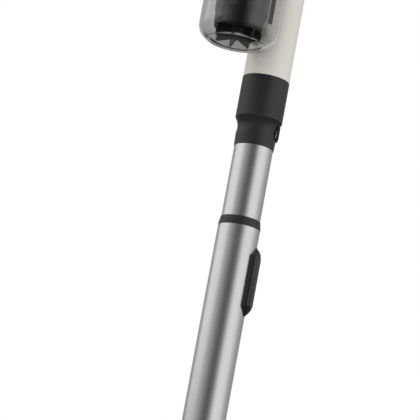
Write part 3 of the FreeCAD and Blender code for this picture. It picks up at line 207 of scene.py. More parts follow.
def makeStudio(s):
    world = bpy.data.worlds.new("studio")
    scene.world = world
    world.use_nodes = True
    sky = world.node_tree.nodes["Background"]
    sky.inputs["Color"].default_value = (1, 1, 1, 1)
    sky.inputs["Strength"].default_value = s["skyStrength"]
    half = s["groundHalf"]
    mesh = bpy.data.meshes.new("ground")
    corners = [(-half, -half, 0), (half, -half, 0), (half, half, 0), (-half, half, 0)]
    mesh.from_pydata(corners, [], [(0, 1, 2, 3)])
    ground = bpy.data.objects.new("ground", mesh)
    scene.collection.objects.link(ground)
    material, shader = startMaterial("groundPaint", s["groundColour"], 0.8)
    addGrain(material, shader, {"scale": 40, "spread": 0.02, "glossSpread": 0.05, "bump": 0.02})
    mesh.materials.append(material)
    # a tent of soft boxes and dark flags, which metal and glass show
    bm = bmesh.new()
    bmesh.ops.create_cone(bm, segments=s["tentSides"], radius1=s["tentRadius"], radius2=s["tentRadius"],
                          depth=s["tentHeight"])
    bmesh.ops.translate(bm, verts=bm.verts, vec=(0, 0, s["tentHeight"] / 2))
    mesh = bpy.data.meshes.new("tent")
    bm.to_mesh(mesh)
    bm.free()
    tent = bpy.data.objects.new("tent", mesh)
    scene.collection.objects.link(tent)
    hideFromLens(tent)
    material = bpy.data.materials.new("tentLight")
    material.use_nodes = True
    tree = material.node_tree
    tree.nodes.clear()
    place = tree.nodes.new("ShaderNodeTexCoord")
    turn = tree.nodes.new("ShaderNodeMapping")
    turn.inputs["Rotation"].default_value = (0, 0, math.radians(90 - cameraSettings["azimuth"]))
    split = tree.nodes.new("ShaderNodeSeparateXYZ")
    angle = tree.nodes.new("ShaderNodeMath")
    angle.operation = "ARCTAN2"
    spread = tree.nodes.new("ShaderNodeMapRange")
    spread.inputs["From Min"].default_value = -math.pi
    spread.inputs["From Max"].default_value = math.pi
    ramp = tree.nodes.new("ShaderNodeValToRGB")
    stops = ramp.color_ramp.elements
    while len(stops) < len(s["tent"]):
        stops.new(0.5)
    for stop, (degrees, level) in zip(stops, s["tent"]):
        stop.position = degrees / 360 + 0.5
        stop.color = (level, level, level, 1)
    glow = tree.nodes.new("ShaderNodeEmission")
    out = tree.nodes.new("ShaderNodeOutputMaterial")
    tree.links.new(place.outputs["Object"], turn.inputs["Vector"])
    tree.links.new(turn.outputs[0], split.inputs[0])
    tree.links.new(split.outputs["Y"], angle.inputs[0])
    tree.links.new(split.outputs["X"], angle.inputs[1])
    tree.links.new(angle.outputs[0], spread.inputs["Value"])
    tree.links.new(spread.outputs["Result"], ramp.inputs["Fac"])
    tree.links.new(ramp.outputs["Color"], glow.inputs["Color"])
    tree.links.new(glow.outputs[0], out.inputs["Surface"])
    mesh.materials.append(material)
    # its dark floor, and a low dark flag before the left soft box
    floorRing = [around(s["tentRadius"], a, s["floorGap"]) for a in range(0, 360, 10)]
    darkCard("tentFloor", [floorRing], s["floorLevel"])
    flag = s["flag"]
    turns = range(flag["from"], flag["to"] + 1, flag["step"])
    rows = [[around(flag["radius"], a, z) for a in turns] for z in (flag["foot"], flag["height"])]
    darkCard("tentFlag", rows, flag["level"])


makeStudio(studioSettings)
scene.view_settings.view_transform = "Standard"
print("studio made")


# finishes: colour, roughness, metallic, extra sockets, grain

finishes = {
    "wand": ((0.68, 0.68, 0.685), 0.27, 1.0, {"Anisotropic": 0.3},
             {"scale": 900, "stretch": (1, 1, 0.02), "spread": 0.02, "glossSpread": 0.012, "bump": 0.02,
              "depth": 0.02}),
    "black": ((0.018, 0.018, 0.019), 0.40, 0.0, {"Specular IOR Level": 0.44},
              {"scale": 1400, "spread": 0.12, "glossSpread": 0.04, "bump": 0.10}),
    "dark": ((0.040, 0.040, 0.042), 0.45, 0.0, {"Specular IOR Level": 0.44},
             {"scale": 1200, "spread": 0.10, "glossSpread": 0.05, "bump": 0.12}),
    "gloss": ((0.005, 0.005, 0.006), 0.07, 0.0, {"Specular IOR Level": 0.5},
              {"scale": 500, "spread": 0.15, "glossSpread": 0.02, "bump": 0.01, "depth": 0.01}),
    "mesh": ((0.020, 0.020, 0.021), 0.45, 0.0, {"Specular IOR Level": 0.4},
             {"scale": 1500, "spread": 0.50, "glossSpread": 0.10, "bump": 0.50, "depth": 0.1}),
    "shell": ((0.715, 0.685, 0.635), 0.32, 0.0, {"Specular IOR Level": 0.5},
              {"scale": 700, "spread": 0.012, "glossSpread": 0.04, "bump": 0.05}),
    "grey": ((0.30, 0.30, 0.31), 0.45, 0.0, {},
             {"scale": 900, "spread": 0.05, "glossSpread": 0.05, "bump": 0.10}),
    "lens": ((0.008, 0.008, 0.010), 0.06, 0.0, {"Coat Weight": 0.3},
             {"scale": 300, "spread": 0.10, "glossSpread": 0.02, "bump": 0.01}),
    "steel": ((0.55, 0.55, 0.56), 0.28, 1.0, {},
              {"scale": 600, "stretch": (1, 1, 0.1), "spread": 0.05, "glossSpread": 0.08, "bump": 0.05}),
    "can": ((0.42, 0.42, 0.43), 0.38, 1.0, {},
            {"scale": 500, "stretch": (1, 1, 0.05), "spread": 0.06, "glossSpread": 0.08, "bump": 0.05}),
    "rubber": ((0.028, 0.028, 0.029), 0.68, 0.0, {"Specular IOR Level": 0.35},
               {"scale": 1100, "spread": 0.15, "glossSpread": 0.08, "bump": 0.25, "depth": 0.1}),
    "foam": ((0.16, 0.16, 0.17), 0.95, 0.0, {"Sheen Weight": 0.2},
             {"scale": 700, "spread": 0.35, "glossSpread": 0.03, "bump": 0.60, "depth": 0.4}),
    "paper": ((0.80, 0.80, 0.77), 0.90, 0.0, {},
              {"scale": 400, "stretch": (1, 1, 0.2), "spread": 0.05, "glossSpread": 0.03, "bump": 0.20,
               "depth": 0.2}),
    "board": ((0.03, 0.16, 0.07), 0.40, 0.0, {},
              {"scale": 260, "spread": 0.30, "glossSpread": 0.10, "bump": 0.05, "depth": 0.1}),
    "bristle": ((0.06, 0.06, 0.065), 0.60, 0.0, {"Sheen Weight": 0.3},
                {"scale": 900, "spread": 0.30, "glossSpread": 0.10, "bump": 0.10, "depth": 0.1}),
    "clear": ((0.97, 0.975, 0.98), 0.015, 0.0, {"Transmission Weight": 1.0, "IOR": 1.42},
              {"scale": 60, "spread": 0.010, "glossSpread": 0.01, "bump": 0.02, "depth": 0.2}),
}
smoke = {"colour": (0.5, 0.5, 0.49), "density": 30.0}  # the clear plastic's grey tint, per metre


def makeFinishes():
    made = {}
    for name, (colour, roughness, metallic, sockets, grain) in finishes.items():
        made[name], shader = startMaterial(name + "Finish", colour, roughness, metallic, sockets)
        addGrain(made[name], shader, grain)
    tree = made["clear"].node_tree
    tint = tree.nodes.new("ShaderNodeVolumeAbsorption")
    tint.inputs["Color"].default_value = (*smoke["colour"], 1)
    tint.inputs["Density"].default_value = smoke["density"]
    out = next(node for node in tree.nodes if node.type == "OUTPUT_MATERIAL")
    tree.links.new(tint.outputs[0], out.inputs["Volume"])
    return made


paints = makeFinishes()
slotFinish = {
    "wand_metal": "wand", "black_plastic": "black", "dark_plastic": "dark", "grey_plastic": "grey",
    "shell_plastic": "shell", "clear_plastic": "clear", "lens_plastic": "lens", "steel": "steel",
    "motor_metal": "can", "seal_rubber": "rubber", "filter_foam": "foam", "filter_paper": "paper",
    "circuit_board": "board", "bristle": "bristle",
}
bodyOf = {}
for body, nodes in frame["record"]["behaviour"]["bodies"].items():
    for node in nodes:
        bodyOf[node] = body
for entry in frame["record"]["subparts"]:
    frame["nodes"][entry["node"]].material_slots[0].material = paints[slotFinish[entry["material_slot"]]]
print("finishes made")


# ways of making a piece

# a node's box in mm
def span(node):
    low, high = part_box(node)
    return Vector(low) / mm, Vector(high) / mm


edgeSettings = {"bevelSegments": 2, "normalWeight": 80, "copySegments": 3, "copyAngle": 30, "flatAngle": 0.6}
sameSpot = 1e-6       # metres between points that are one
cornerShare = 0.48    # the most of a side that one rounded corner takes up


# a finished piece goes with the CAD node beside it: same body, with the finish it is given
def keepPiece(name, mesh, paint, node, stands=(), sharp=35, bevel=0.0):
    piece = bpy.data.objects.new(name, mesh)
    scene.collection.objects.link(piece)
    mesh.materials.clear()
    mesh.materials.append(paints[paint])
    for face in mesh.polygons:
        face.use_smooth = True
    mesh.set_sharp_from_angle(angle=math.radians(sharp))
    if bevel:
        soften = piece.modifiers.new("softEdges", "BEVEL")
        soften.width = bevel * mm
        soften.segments = edgeSettings["bevelSegments"]
        soften.limit_method = "ANGLE"
        soften.harden_normals = True
    else:
        even = piece.modifiers.new("evenNormals", "WEIGHTED_NORMAL")
        even.keep_sharp = True
        even.weight = edgeSettings["normalWeight"]
    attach(piece, bodyOf[node])
    if stands:
        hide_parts(*stands)
    return piece


def closeMesh(bm, name):
    if bm.calc_volume(signed=True) < 0:
        bmesh.ops.reverse_faces(bm, faces=bm.faces)
    mesh = bpy.data.meshes.new(name)
    bm.to_mesh(mesh)
    bm.free()
    return mesh


# points are (x, y) or (x, y, radius); a radius rounds that corner
def roundCorners(points, closed=True, steps=5):
    out = []
    count = len(points)
    for i, point in enumerate(points):
        here = Vector(point[:2])
        radius = point[2] if len(point) > 2 else 0
        if radius <= 0 or (not closed and i in (0, count - 1)):
            out.append(here)
            continue
        back = Vector(points[i - 1][:2]) - here
        ahead = Vector(points[(i + 1) % count][:2]) - here
        half = back.angle(ahead) / 2
        reach = min(radius / math.tan(half), cornerShare * back.length, cornerShare * ahead.length)
        radius = reach * math.tan(half)
        start, end = here + back.normalized() * reach, here + ahead.normalized() * reach
        middle = here + (back.normalized() + ahead.normalized()).normalized() * (radius / math.sin(half))
        first, last = start - middle, end - middle
        sweep = first.angle_signed(last, 0)
        for k in range(steps + 1):
            out.append(middle + Matrix.Rotation(-sweep * k / steps, 2) @ first)
    return out


# spins a profile of (radius, height) in mm about an upright line
def turnMesh(name, profile, centre=(0, 0), sides=96, steps=5, closed=True):
    line = roundCorners(profile, closed, steps)
    middle = Vector((*centre, 0))
    bm = bmesh.new()
    rows = []
    for radius, height in line:
        count = 1 if radius < 1e-4 else sides
        row = []
        for k in range(count):
            angle = 2 * math.pi * k / sides
            spot = Vector((radius * math.cos(angle), radius * math.sin(angle), height))
            row.append(bm.verts.new((middle + spot) * mm))
        rows.append(row)
    pairs = list(zip(rows, rows[1:] + rows[:1])) if closed else list(zip(rows, rows[1:]))
    for low, high in pairs:
        if len(low) == 1 and len(high) == 1:
            continue
        for k in range(sides):
            n = (k + 1) % sides
            corners = [low[k % len(low)], low[n % len(low)], high[n % len(high)], high[k % len(high)]]
            bm.faces.new(list(dict.fromkeys(corners)))
    return closeMesh(bm, name)


# a copy of a CAD node with its edges rounded; width in mm
def softCopy(node, paint, width):
    bm = bmesh.new()
    bm.from_mesh(frame["nodes"][node].data)
    flat = math.radians(edgeSettings["flatAngle"])
    bmesh.ops.remove_doubles(bm, verts=bm.verts, dist=sameSpot)
    bmesh.ops.dissolve_limit(bm, angle_limit=flat, verts=bm.verts, edges=bm.edges)
    words = node.split("_")
    label = words[0] + "".join(word.capitalize() for word in words[1:]) + "Soft"
    mesh = bpy.data.meshes.new(label)
    bm.to_mesh(mesh)
    bm.free()
    for layer in ("custom_normal", "sharp_edge", "sharp_face"):
        if layer in mesh.attributes:
            mesh.attributes.remove(mesh.attributes[layer])
    piece = keepPiece(label, mesh, paint, node, [node], bevel=width)
    piece.modifiers["softEdges"].segments = edgeSettings["copySegments"]
    piece.modifiers["softEdges"].angle_limit = math.radians(edgeSettings["copyAngle"])


def boxMesh(name, boxes):
    bm = bmesh.new()
    for low, high in boxes:
        made = bmesh.ops.create_cube(bm, size=1)["verts"]
        for vert in made:
            vert.co = Vector([low[i] + (vert.co[i] + 0.5) * (high[i] - low[i]) for i in range(3)]) * mm
    return closeMesh(bm, name)


# Geometry Nodes trees for what repeats

def startTree(name, inputs):
    tree = bpy.data.node_groups.new(name, "GeometryNodeTree")
    for label, kind in inputs.items():
        tree.interface.new_socket(name=label, in_out="INPUT", socket_type="NodeSocket" + kind)
    tree.interface.new_socket(name="Mesh", in_out="OUTPUT", socket_type="NodeSocketGeometry")
    return tree, tree.nodes.new("NodeGroupInput").outputs


def endTree(tree, geometry, paint):
    solid = tree.nodes.new("GeometryNodeRealizeInstances")
    coat = tree.nodes.new("GeometryNodeSetMaterial")
    end = tree.nodes.new("NodeGroupOutput")
    tree.links.new(geometry, solid.inputs[0])
    tree.links.new(solid.outputs[0], coat.inputs["Geometry"])
    tree.links.new(paint, coat.inputs["Material"])
    tree.links.new(coat.outputs[0], end.inputs[0])


def ringTree():
    tree, given = startTree("ringOfBars", {
        "Count": "Int", "Radius": "Float", "Bar": "Vector", "Centre": "Vector", "Turn": "Vector",
        "Paint": "Material",
    })
    circle = tree.nodes.new("GeometryNodeMeshCircle")
    bar = tree.nodes.new("GeometryNodeMeshCube")
    face = tree.nodes.new("FunctionNodeAlignRotationToVector")
    face.axis = "X"
    spot = tree.nodes.new("GeometryNodeInputPosition")
    copies = tree.nodes.new("GeometryNodeInstanceOnPoints")
    shift = tree.nodes.new("GeometryNodeTransform")
    tree.links.new(given["Count"], circle.inputs["Vertices"])
    tree.links.new(given["Radius"], circle.inputs["Radius"])
    tree.links.new(given["Bar"], bar.inputs["Size"])
    tree.links.new(spot.outputs[0], face.inputs["Vector"])
    tree.links.new(circle.outputs["Mesh"], copies.inputs["Points"])
    tree.links.new(bar.outputs["Mesh"], copies.inputs["Instance"])
    tree.links.new(face.outputs["Rotation"], copies.inputs["Rotation"])
    tree.links.new(copies.outputs[0], shift.inputs["Geometry"])
    tree.links.new(given["Centre"], shift.inputs["Translation"])
    tree.links.new(given["Turn"], shift.inputs["Rotation"])
    endTree(tree, shift.outputs[0], given["Paint"])
    return tree


def rowTree():
    tree, given = startTree("rowOfBars", {
        "Count": "Int", "Start": "Vector", "Step": "Vector", "Bar": "Vector", "Paint": "Material",
    })
    line = tree.nodes.new("GeometryNodeMeshLine")
    bar = tree.nodes.new("GeometryNodeMeshCube")
    copies = tree.nodes.new("GeometryNodeInstanceOnPoints")
    tree.links.new(given["Count"], line.inputs["Count"])
    tree.links.new(given["Start"], line.inputs["Start Location"])
    tree.links.new(given["Step"], line.inputs["Offset"])
    tree.links.new(given["Bar"], bar.inputs["Size"])
    tree.links.new(line.outputs["Mesh"], copies.inputs["Points"])
    tree.links.new(bar.outputs["Mesh"], copies.inputs["Instance"])
    endTree(tree, copies.outputs[0], given["Paint"])
    return tree


# tufts along a helix about a line in X
def tuftTree():
    tree, given = startTree("helixOfTufts", {
        "Count": "Int", "Start": "Vector", "Step": "Vector", "Twist": "Float", "Phase": "Float",
        "Radius": "Float", "Thick": "Float", "Tall": "Float", "Seed": "Int", "Paint": "Material",
    })
    line = tree.nodes.new("GeometryNodeMeshLine")
    index = tree.nodes.new("GeometryNodeInputIndex")
    angle = tree.nodes.new("ShaderNodeMath")
    angle.operation = "MULTIPLY_ADD"
    waver = tree.nodes.new("FunctionNodeRandomValue")
    waver.data_type = "FLOAT"
    waver.inputs[2].default_value = -0.06
    waver.inputs[3].default_value = 0.06
    total = tree.nodes.new("ShaderNodeMath")
    cosine = tree.nodes.new("ShaderNodeMath")
    cosine.operation = "COSINE"
    sine = tree.nodes.new("ShaderNodeMath")
    sine.operation = "SINE"
    out = tree.nodes.new("ShaderNodeCombineXYZ")
    reach = tree.nodes.new("ShaderNodeVectorMath")
    reach.operation = "SCALE"
    move = tree.nodes.new("GeometryNodeSetPosition")
    face = tree.nodes.new("FunctionNodeAlignRotationToVector")
    face.axis = "Z"
    hair = tree.nodes.new("GeometryNodeMeshCone")
    hair.inputs["Vertices"].default_value = 5
    copies = tree.nodes.new("GeometryNodeInstanceOnPoints")
    tree.links.new(given["Count"], line.inputs["Count"])
    tree.links.new(given["Start"], line.inputs["Start Location"])
    tree.links.new(given["Step"], line.inputs["Offset"])
    tree.links.new(index.outputs[0], angle.inputs[0])
    tree.links.new(given["Twist"], angle.inputs[1])
    tree.links.new(given["Phase"], angle.inputs[2])
    tree.links.new(given["Seed"], waver.inputs["Seed"])
    tree.links.new(angle.outputs[0], total.inputs[0])
    tree.links.new(waver.outputs[1], total.inputs[1])
    tree.links.new(total.outputs[0], cosine.inputs[0])
    tree.links.new(total.outputs[0], sine.inputs[0])
    tree.links.new(cosine.outputs[0], out.inputs["Y"])
    tree.links.new(sine.outputs[0], out.inputs["Z"])
    tree.links.new(out.outputs[0], reach.inputs[0])
    tree.links.new(given["Radius"], reach.inputs["Scale"])
    tree.links.new(line.outputs["Mesh"], move.inputs["Geometry"])
    tree.links.new(reach.outputs[0], move.inputs["Offset"])
    tree.links.new(out.outputs[0], face.inputs["Vector"])
    tree.links.new(given["Thick"], hair.inputs["Radius Bottom"])
    tree.links.new(given["Tall"], hair.inputs["Depth"])
    tree.links.new(move.outputs[0], copies.inputs["Points"])
    tree.links.new(hair.outputs["Mesh"], copies.inputs["Instance"])
    tree.links.new(face.outputs["Rotation"], copies.inputs["Rotation"])
    endTree(tree, copies.outputs[0], given["Paint"])
    return tree


trees = {"ring": ringTree(), "row": rowTree(), "tufts": tuftTree()}


# runs a tree and hands back plain meshes, joined; each set of values is one run, sizes in metres
def growMesh(name, kind, paint, runs):
    tree = trees[kind]
    bm = bmesh.new()
    for values in runs:
        seed = bpy.data.objects.new(name + "Seed", bpy.data.meshes.new(name + "Seed"))
        scene.collection.objects.link(seed)
        grow = seed.modifiers.new("grow", "NODES")
        grow.node_group = tree
        for item in tree.interface.items_tree:
            if item.in_out == "INPUT":
                grow[item.identifier] = paints[paint] if item.name == "Paint" else values[item.name]
        view = bpy.context.evaluated_depsgraph_get()
        mesh = bpy.data.meshes.new_from_object(seed.evaluated_get(view))
        bm.from_mesh(mesh)
        seed.modifiers.clear()
        bpy.data.objects.remove(seed)
        bpy.data.meshes.remove(mesh)
    mesh = bpy.data.meshes.new(name)
    bm.to_mesh(mesh)
    bm.free()
    return mesh


def inMetres(*numbers):
    return tuple(number * mm for number in numbers)


print("helpers ready")


# dust bin: a clear cup with a disc in its floor

binShape = {
    "wall": 2.0, "rim": 0.5, "rimGap": 0.03,
    "discRadius": 28.2, "discEdge": 0.05, "discProud": 0.15, "easeRadius": 34.5,
    "outerBend": (16.0, 16.0, 2.2), "innerBend": (20.0, 16.0, 2.4),  # across, up, squareness
    "bendSteps": 32, "sides": 180,
}


# a quarter of a squarish oval, from low and inside to high and outside
def bendPoints(radius, foot, bend, inside, steps):
    across, up, power = bend
    points = []
    for k in range(steps + 1):
        angle = math.pi / 2 * k / steps
        out = math.sin(angle) ** (2 / power)
        rise = 1 - math.cos(angle) ** (2 / power)
        spot = (radius - across * (1 - out), foot + up * rise)
        if spot[0] > inside:
            points.append(spot)
    return points


def makeBin(s):
    low, high = span("dust_bin")
    centre, radius = ((low.x + high.x) / 2, (low.y + high.y) / 2), (high.x - low.x) / 2
    foot, wall, disc, steps = low.z, s["wall"], s["discRadius"], s["bendSteps"]
    bend = bendPoints(radius, foot, s["outerBend"], disc + s["discProud"], steps)
    drop = bend[0][1] - foot - s["discProud"]
    reach = s["easeRadius"] - bend[0][0]
    bend = [(r, z - drop * (max(0, s["easeRadius"] - r) / reach) ** 2) for r, z in bend]
    top = high.z - s["rimGap"]
    profile = [(0, foot), (disc, foot, s["discEdge"])] + bend
    profile += [(radius, top, s["rim"]), (radius - wall, top, s["rim"])]
    profile += bendPoints(radius - wall, foot + wall, s["innerBend"], 1, steps)[::-1] + [(0, foot + wall)]
    mesh = turnMesh("dustBinClear", profile, centre, sides=s["sides"], steps=4, closed=False)
    keepPiece("dustBinClear", mesh, "clear", "dust_bin", ["dust_bin"], sharp=40)


makeBin(binShape)

# cyclone: a stepped cone, a band of mesh windows between ribs, and teeth under the cone

cycloneShape = {
    "stepHeight": 12.9, "stepRadius": (23.5, 24.0), "coneTopHeight": 29.2,
    "coneTopRadius": 25.1, "bodyRadius": 25.8, "wall": 1.5,
    "windowCount": 8, "windowTurn": -102.5,
    "shoulder": 0.6, "collar": 1.2, "straight": 6.2, "stepRise": 0.5, "tuck": 1.0, "edge": 0.2,
    "meshRadius": 25.0, "meshThick": 1.0,
    "ribWide": 10.2, "ribOut": 26.0, "ribSink": 0.6, "bandTall": 20.0, "bandOut": 0.1, "bandSink": 0.5,
    "toothCount": 7, "toothTurn": 36.1, "toothThick": 1.8, "toothOut": 22.0, "toothFoot": 3.2,
    "toothFlat": 1.8, "toothRise": 6.1, "toothSink": 0.5, "ceiling": 11.7,
    "finTurn": 35.0, "finIn": 27.2, "finOut": 31.6, "finLow": 25.5, "finHigh": 58.0, "finThick": 1.8,
    "finTie": 4.0, "sides": 128,
}


def makeCyclone(s):
    low, high = span("cyclone_shroud")
    centre = ((low.x + high.x) / 2, (low.y + high.y) / 2)
    floor, top = span("dust_bin")[0].z, high.z
    step, coneTop = floor + s["stepHeight"], floor + s["coneTopHeight"]
    ceiling = floor + s["ceiling"]
    under, over = s["stepRadius"]
    body, wall, skin, edge = s["bodyRadius"], s["wall"], s["meshRadius"], s["edge"]
    profile = [
        (0, ceiling), (under - 0.2, ceiling, 0.4), (under, step, edge), (over, step + s["stepRise"], edge),
        (s["coneTopRadius"] - 0.1, coneTop - s["straight"]), (s["coneTopRadius"], coneTop, edge),
        (body, coneTop + s["shoulder"], edge), (body, coneTop + s["collar"]),
        (skin, coneTop + s["collar"]), (skin, coneTop - s["tuck"]), (body - wall - 1.2, coneTop - s["tuck"]),
        (under - wall - 0.6, ceiling + wall), (0, ceiling + wall),
    ]
    mesh = turnMesh("dustConeBody", profile, centre, sides=s["sides"], steps=3, closed=False)
    keepPiece("dustConeBody", mesh, "gloss", "dust_cone", ["dust_cone"], sharp=30)
    # mesh sleeve behind the windows
    inside, foot = skin - s["meshThick"], coneTop - s["tuck"]
    mesh = turnMesh("shroudSleeve", [(inside, foot), (skin, foot), (skin, top), (inside, top)], centre,
                    sides=s["sides"], steps=2)
    keepPiece("shroudSleeve", mesh, "mesh", "cyclone_shroud", ["cyclone_shroud"])
    inside, outside = skin - s["bandSink"], body + s["bandOut"]
    for k, start in enumerate((coneTop, top - s["bandTall"])):
        end = start + s["bandTall"]
        profile = [(inside, start), (outside, start, 0.3), (outside, end, 0.3), (inside, end)]
        mesh = turnMesh("shroudBand" + str(k + 1), profile, centre, sides=s["sides"], steps=3)
        keepPiece("shroudBand" + str(k + 1), mesh, "gloss", "cyclone_shroud")
    # the ribs between the windows
    thick = s["ribOut"] - skin + s["ribSink"]
    mesh = growMesh("shroudRibs", "ring", "gloss", [{
        "Count": s["windowCount"], "Radius": (s["ribOut"] - thick / 2) * mm,
        "Bar": inMetres(thick, s["ribWide"], top - coneTop - 2),
        "Centre": inMetres(centre[0], centre[1], (coneTop + top) / 2),
        "Turn": (0, 0, math.radians(s["windowTurn"] + 180 / s["windowCount"])),
    }])
    keepPiece("shroudRibs", mesh, "gloss", "cyclone_shroud", bevel=0.4)
    # teeth under the cone
    bm = bmesh.new()
    half = s["toothThick"] / 2
    out, low = s["toothOut"], floor + s["toothFoot"]
    for k in range(s["toothCount"]):
        turn = Matrix.Rotation(math.radians(s["toothTurn"] + 360 * k / s["toothCount"]), 3, "Z")
        shape = [(out, low), (under - 0.3, ceiling + s["toothSink"]), (1.0, ceiling + s["toothSink"]),
                 (1.0, floor + s["toothRise"]), (out - s["toothFlat"], low)]
        sides = []
        for y in (-half, half):
            ring = []
            for x, z in shape:
                spot = turn @ Vector((x, y, 0)) + Vector((centre[0], centre[1], z))
                ring.append(bm.verts.new(spot * mm))
            sides.append(ring)
        bm.faces.new(sides[0])
        bm.faces.new(sides[1][::-1])
        for i in range(len(shape)):
            n = (i + 1) % len(shape)
            bm.faces.new([sides[0][n], sides[0][i], sides[1][i], sides[1][n]])
    bmesh.ops.recalc_face_normals(bm, faces=bm.faces)
    keepPiece("coneTeeth", closeMesh(bm, "coneTeeth"), "gloss", "dust_cone", bevel=0.2)
    # one upright fin that keeps the dust from going round
    turn = Matrix.Rotation(math.radians(s["finTurn"]), 4, "Z")
    half, head = s["finThick"] / 2, floor + s["finHigh"]
    mesh = boxMesh("shroudFin", [
        ((s["finIn"], -half, floor + s["finLow"]), (s["finOut"], half, head)),
        ((skin, -half, head), (s["finOut"], half, head + s["finTie"])),
    ])
    mesh.transform(Matrix.Translation(Vector(inMetres(centre[0], centre[1], 0))) @ turn)
    keepPiece("shroudFin", mesh, "gloss", "cyclone_shroud", bevel=0.4)


makeCyclone(cycloneShape)
print("bin and cyclone made")


# neck, collar and wand

ringShape = {"bore": 19.5, "sleeve": 20.12, "rim": 21.1, "lip": 19.9, "foot": 1.4, "sides": 144}


def makeRing(s):
    low, high = span("telescope_ring")
    foot = span("lower_tube")[1].z
    profile = [(s["bore"], low.z), (s["sleeve"], low.z, 0.2), (s["sleeve"], foot), (s["rim"], foot, 0.3),
               (s["rim"], foot + s["foot"], 0.5), (s["lip"], high.z, 0.4), (s["bore"], high.z, 0.1)]
    mesh = turnMesh("telescopeRingSoft", profile, sides=s["sides"], steps=4)
    keepPiece("telescopeRingSoft", mesh, "black", "telescope_ring", ["telescope_ring"], sharp=28)


makeRing(ringShape)
softCopy("wand_collar", "black", 0.35)
softCopy("wand_release_button", "black", 0.4)
softCopy("latch_frame", "black", 0.35)
softCopy("latch_button", "black", 0.45)

# the coil under the latch button, which flattens as the button goes in

springShape = {"turns": 3, "wire": 0.12, "steps": 108, "sides": 8, "gap": 0.03}


def makeLatchSpring(s):
    joints = frame["record"]["behaviour"]["joints"]
    press = next(joint for joint in joints if joint["name"] == "latch_press")
    line = Vector(press["axis"]).normalized()
    up = Vector((0, 0, 1))
    side = line.cross(up).normalized()
    spots = [vert.co / mm for vert in frame["nodes"]["latch_spring"].data.vertices]
    reach = {}
    for name, way in (("line", line), ("side", side), ("up", up)):
        values = [spot.dot(way) for spot in spots]
        reach[name] = (min(values), max(values))
    centre = sum((way * sum(reach[name]) / 2 for name, way in (("side", side), ("up", up))), Vector())
    first, last = reach["line"][0] + s["gap"], reach["line"][1] - s["gap"]
    radius = (reach["up"][1] - reach["up"][0]) / 2 - s["wire"]
    bm = bmesh.new()
    rings = []
    for k in range(s["steps"] + 1):
        angle = 2 * math.pi * s["turns"] * k / s["steps"]
        out = side * math.cos(angle) + up * math.sin(angle)
        along = first + s["wire"] + (last - first - 2 * s["wire"]) * k / s["steps"]
        middle = centre + line * along + out * radius
        ring = []
        for i in range(s["sides"]):
            turn = 2 * math.pi * i / s["sides"]
            spoke = out * math.cos(turn) + line * math.sin(turn)
            ring.append(bm.verts.new((middle + spoke * s["wire"]) * mm))
        rings.append(ring)
    for low, high in zip(rings, rings[1:]):
        for i in range(s["sides"]):
            n = (i + 1) % s["sides"]
            bm.faces.new((low[i], low[n], high[n], high[i]))
    bm.faces.new(rings[0][::-1])
    bm.faces.new(rings[-1])
    bmesh.ops.recalc_face_normals(bm, faces=bm.faces)
    mesh = bpy.data.meshes.new("latchSpringCoil")
    bm.to_mesh(mesh)
    bm.free()
    coil = keepPiece("latchSpringCoil", mesh, "steel", "latch_spring", ["latch_spring"])
    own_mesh(coil)


makeLatchSpring(springShape)
print("neck, collar and wand made")


# motor housing, filter cap, handle and battery

softCopy("motor_housing", "shell", 0.6)
softCopy("filter_cap", "shell", 0.3)
softCopy("bin_release_button", "black", 0.4)
softCopy("handle_shell", "shell", 0.6)
softCopy("grip_pad", "rubber", 0.6)
softCopy("display_lens", "lens", 0.15)
softCopy("battery_case", "dark", 0.5)
softCopy("battery_release", "black", 0.3)
for button in ("power_button", "mode_up_button", "mode_down_button"):
    softCopy(button, "black", 0.3)

ribShape = {
    "gripCount": 19, "gripStep": 3.0, "gripBar": (12.5, 0.7, 1.1), "gripProud": 0.3,
    "sideCount": 9, "sideStep": 4.0, "sideBar": (1.0, 1.3, 27.0), "sideProud": 0.35,
}


def makeRibs(s):
    low, high = span("grip_pad")
    start = (low.z + high.z - s["gripStep"] * (s["gripCount"] - 1)) / 2
    mesh = growMesh("gripRibs", "row", "rubber", [{
        "Count": s["gripCount"], "Start": inMetres(0, low.y - s["gripProud"] + s["gripBar"][1] / 2, start),
        "Step": inMetres(0, 0, s["gripStep"]), "Bar": inMetres(*s["gripBar"]),
    }])
    keepPiece("gripRibs", mesh, "rubber", "grip_pad", bevel=0.2)
    low, high = span("battery_case")
    start = (low.y + high.y - s["sideStep"] * (s["sideCount"] - 1)) / 2
    runs = []
    for side in (low.x - s["sideProud"] + s["sideBar"][0] / 2, high.x + s["sideProud"] - s["sideBar"][0] / 2):
        runs.append({
            "Count": s["sideCount"], "Start": inMetres(side, start, (low.z + high.z) / 2),
            "Step": inMetres(0, s["sideStep"], 0), "Bar": inMetres(*s["sideBar"]),
        })
    mesh = growMesh("batteryRibs", "row", "dark", runs)
    keepPiece("batteryRibs", mesh, "dark", "battery_case", bevel=0.2)


makeRibs(ribShape)

pleatShape = {"count": 84, "thick": 0.7, "inner": 23.0, "gap": 1.0, "end": 1.2, "sides": 96}


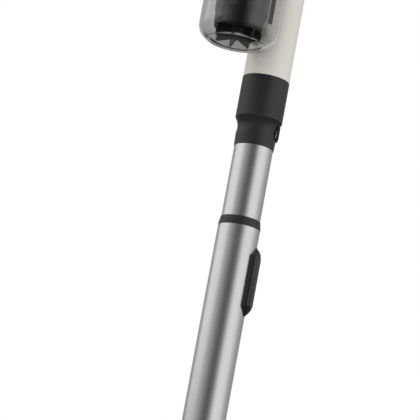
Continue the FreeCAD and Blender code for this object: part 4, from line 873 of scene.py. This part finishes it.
def makePleats(s):
    low, high = span("exhaust_filter")
    centre = ((low.x + high.x) / 2, (low.y + high.y) / 2)
    outer, inner = (high.x - low.x) / 2, s["inner"]
    mesh = growMesh("filterPleats", "ring", "paper", [{
        "Count": s["count"], "Radius": (inner + outer) / 2 * mm,
        "Bar": inMetres(outer - inner - s["gap"], s["thick"], high.z - low.z - 2 * s["end"]),
        "Centre": inMetres(centre[0], centre[1], (low.z + high.z) / 2), "Turn": (0, 0, 0),
    }])
    keepPiece("filterPleats", mesh, "paper", "exhaust_filter", ["exhaust_filter"])
    for k, start in enumerate((low.z, high.z - s["end"])):
        end = start + s["end"]
        profile = [(inner, start, 0.2), (outer, start, 0.4), (outer, end, 0.4), (inner, end, 0.2)]
        mesh = turnMesh("filterEnd" + str(k + 1), profile, centre, sides=s["sides"], steps=2)
        keepPiece("filterEnd" + str(k + 1), mesh, "grey", "exhaust_filter")


makePleats(pleatShape)
print("hand unit made")


# floor head

softCopy("head_cover", "shell", 1.6)
softCopy("side_cover_left", "dark", 0.6)
softCopy("side_cover_right", "dark", 0.6)
softCopy("sole_plate", "dark", 0.5)
softCopy("front_bumper", "rubber", 0.3)
softCopy("yoke", "dark", 0.6)
softCopy("neck_swivel", "dark", 0.5)
softCopy("lower_collar", "black", 0.5)
softCopy("head_release_button", "black", 0.4)

rollerShape = {
    "rows": 4, "perRow": 150, "twist": 1.15, "rowShift": 0.035, "end": 1.5,
    "tuftThick": 0.75, "tuftFoot": 16.5,
}


def makeRoller(s):
    low, high = span("roller_bristles")
    axis = ((low.y + high.y) / 2, (low.z + high.z) / 2)
    tip = (high.z - low.z) / 2
    long = high.x - low.x - 2 * s["end"]
    runs = []
    for row in range(s["rows"]):
        for side in (-1, 1):
            runs.append({
                "Count": s["perRow"], "Start": inMetres(low.x + s["end"], *axis),
                "Step": inMetres(long / (s["perRow"] - 1), 0, 0),
                "Twist": 2 * math.pi * s["twist"] / s["perRow"],
                "Phase": 2 * math.pi * row / s["rows"] + side * s["rowShift"],
                "Radius": s["tuftFoot"] * mm, "Thick": s["tuftThick"] * mm,
                "Tall": (tip - s["tuftFoot"]) * mm, "Seed": row * 2 + (side > 0),
            })
    mesh = growMesh("bristleTufts", "tufts", "bristle", runs)
    keepPiece("bristleTufts", mesh, "bristle", "roller_bristles", ["roller_bristles"])


makeRoller(rollerShape)
print("floor head made")
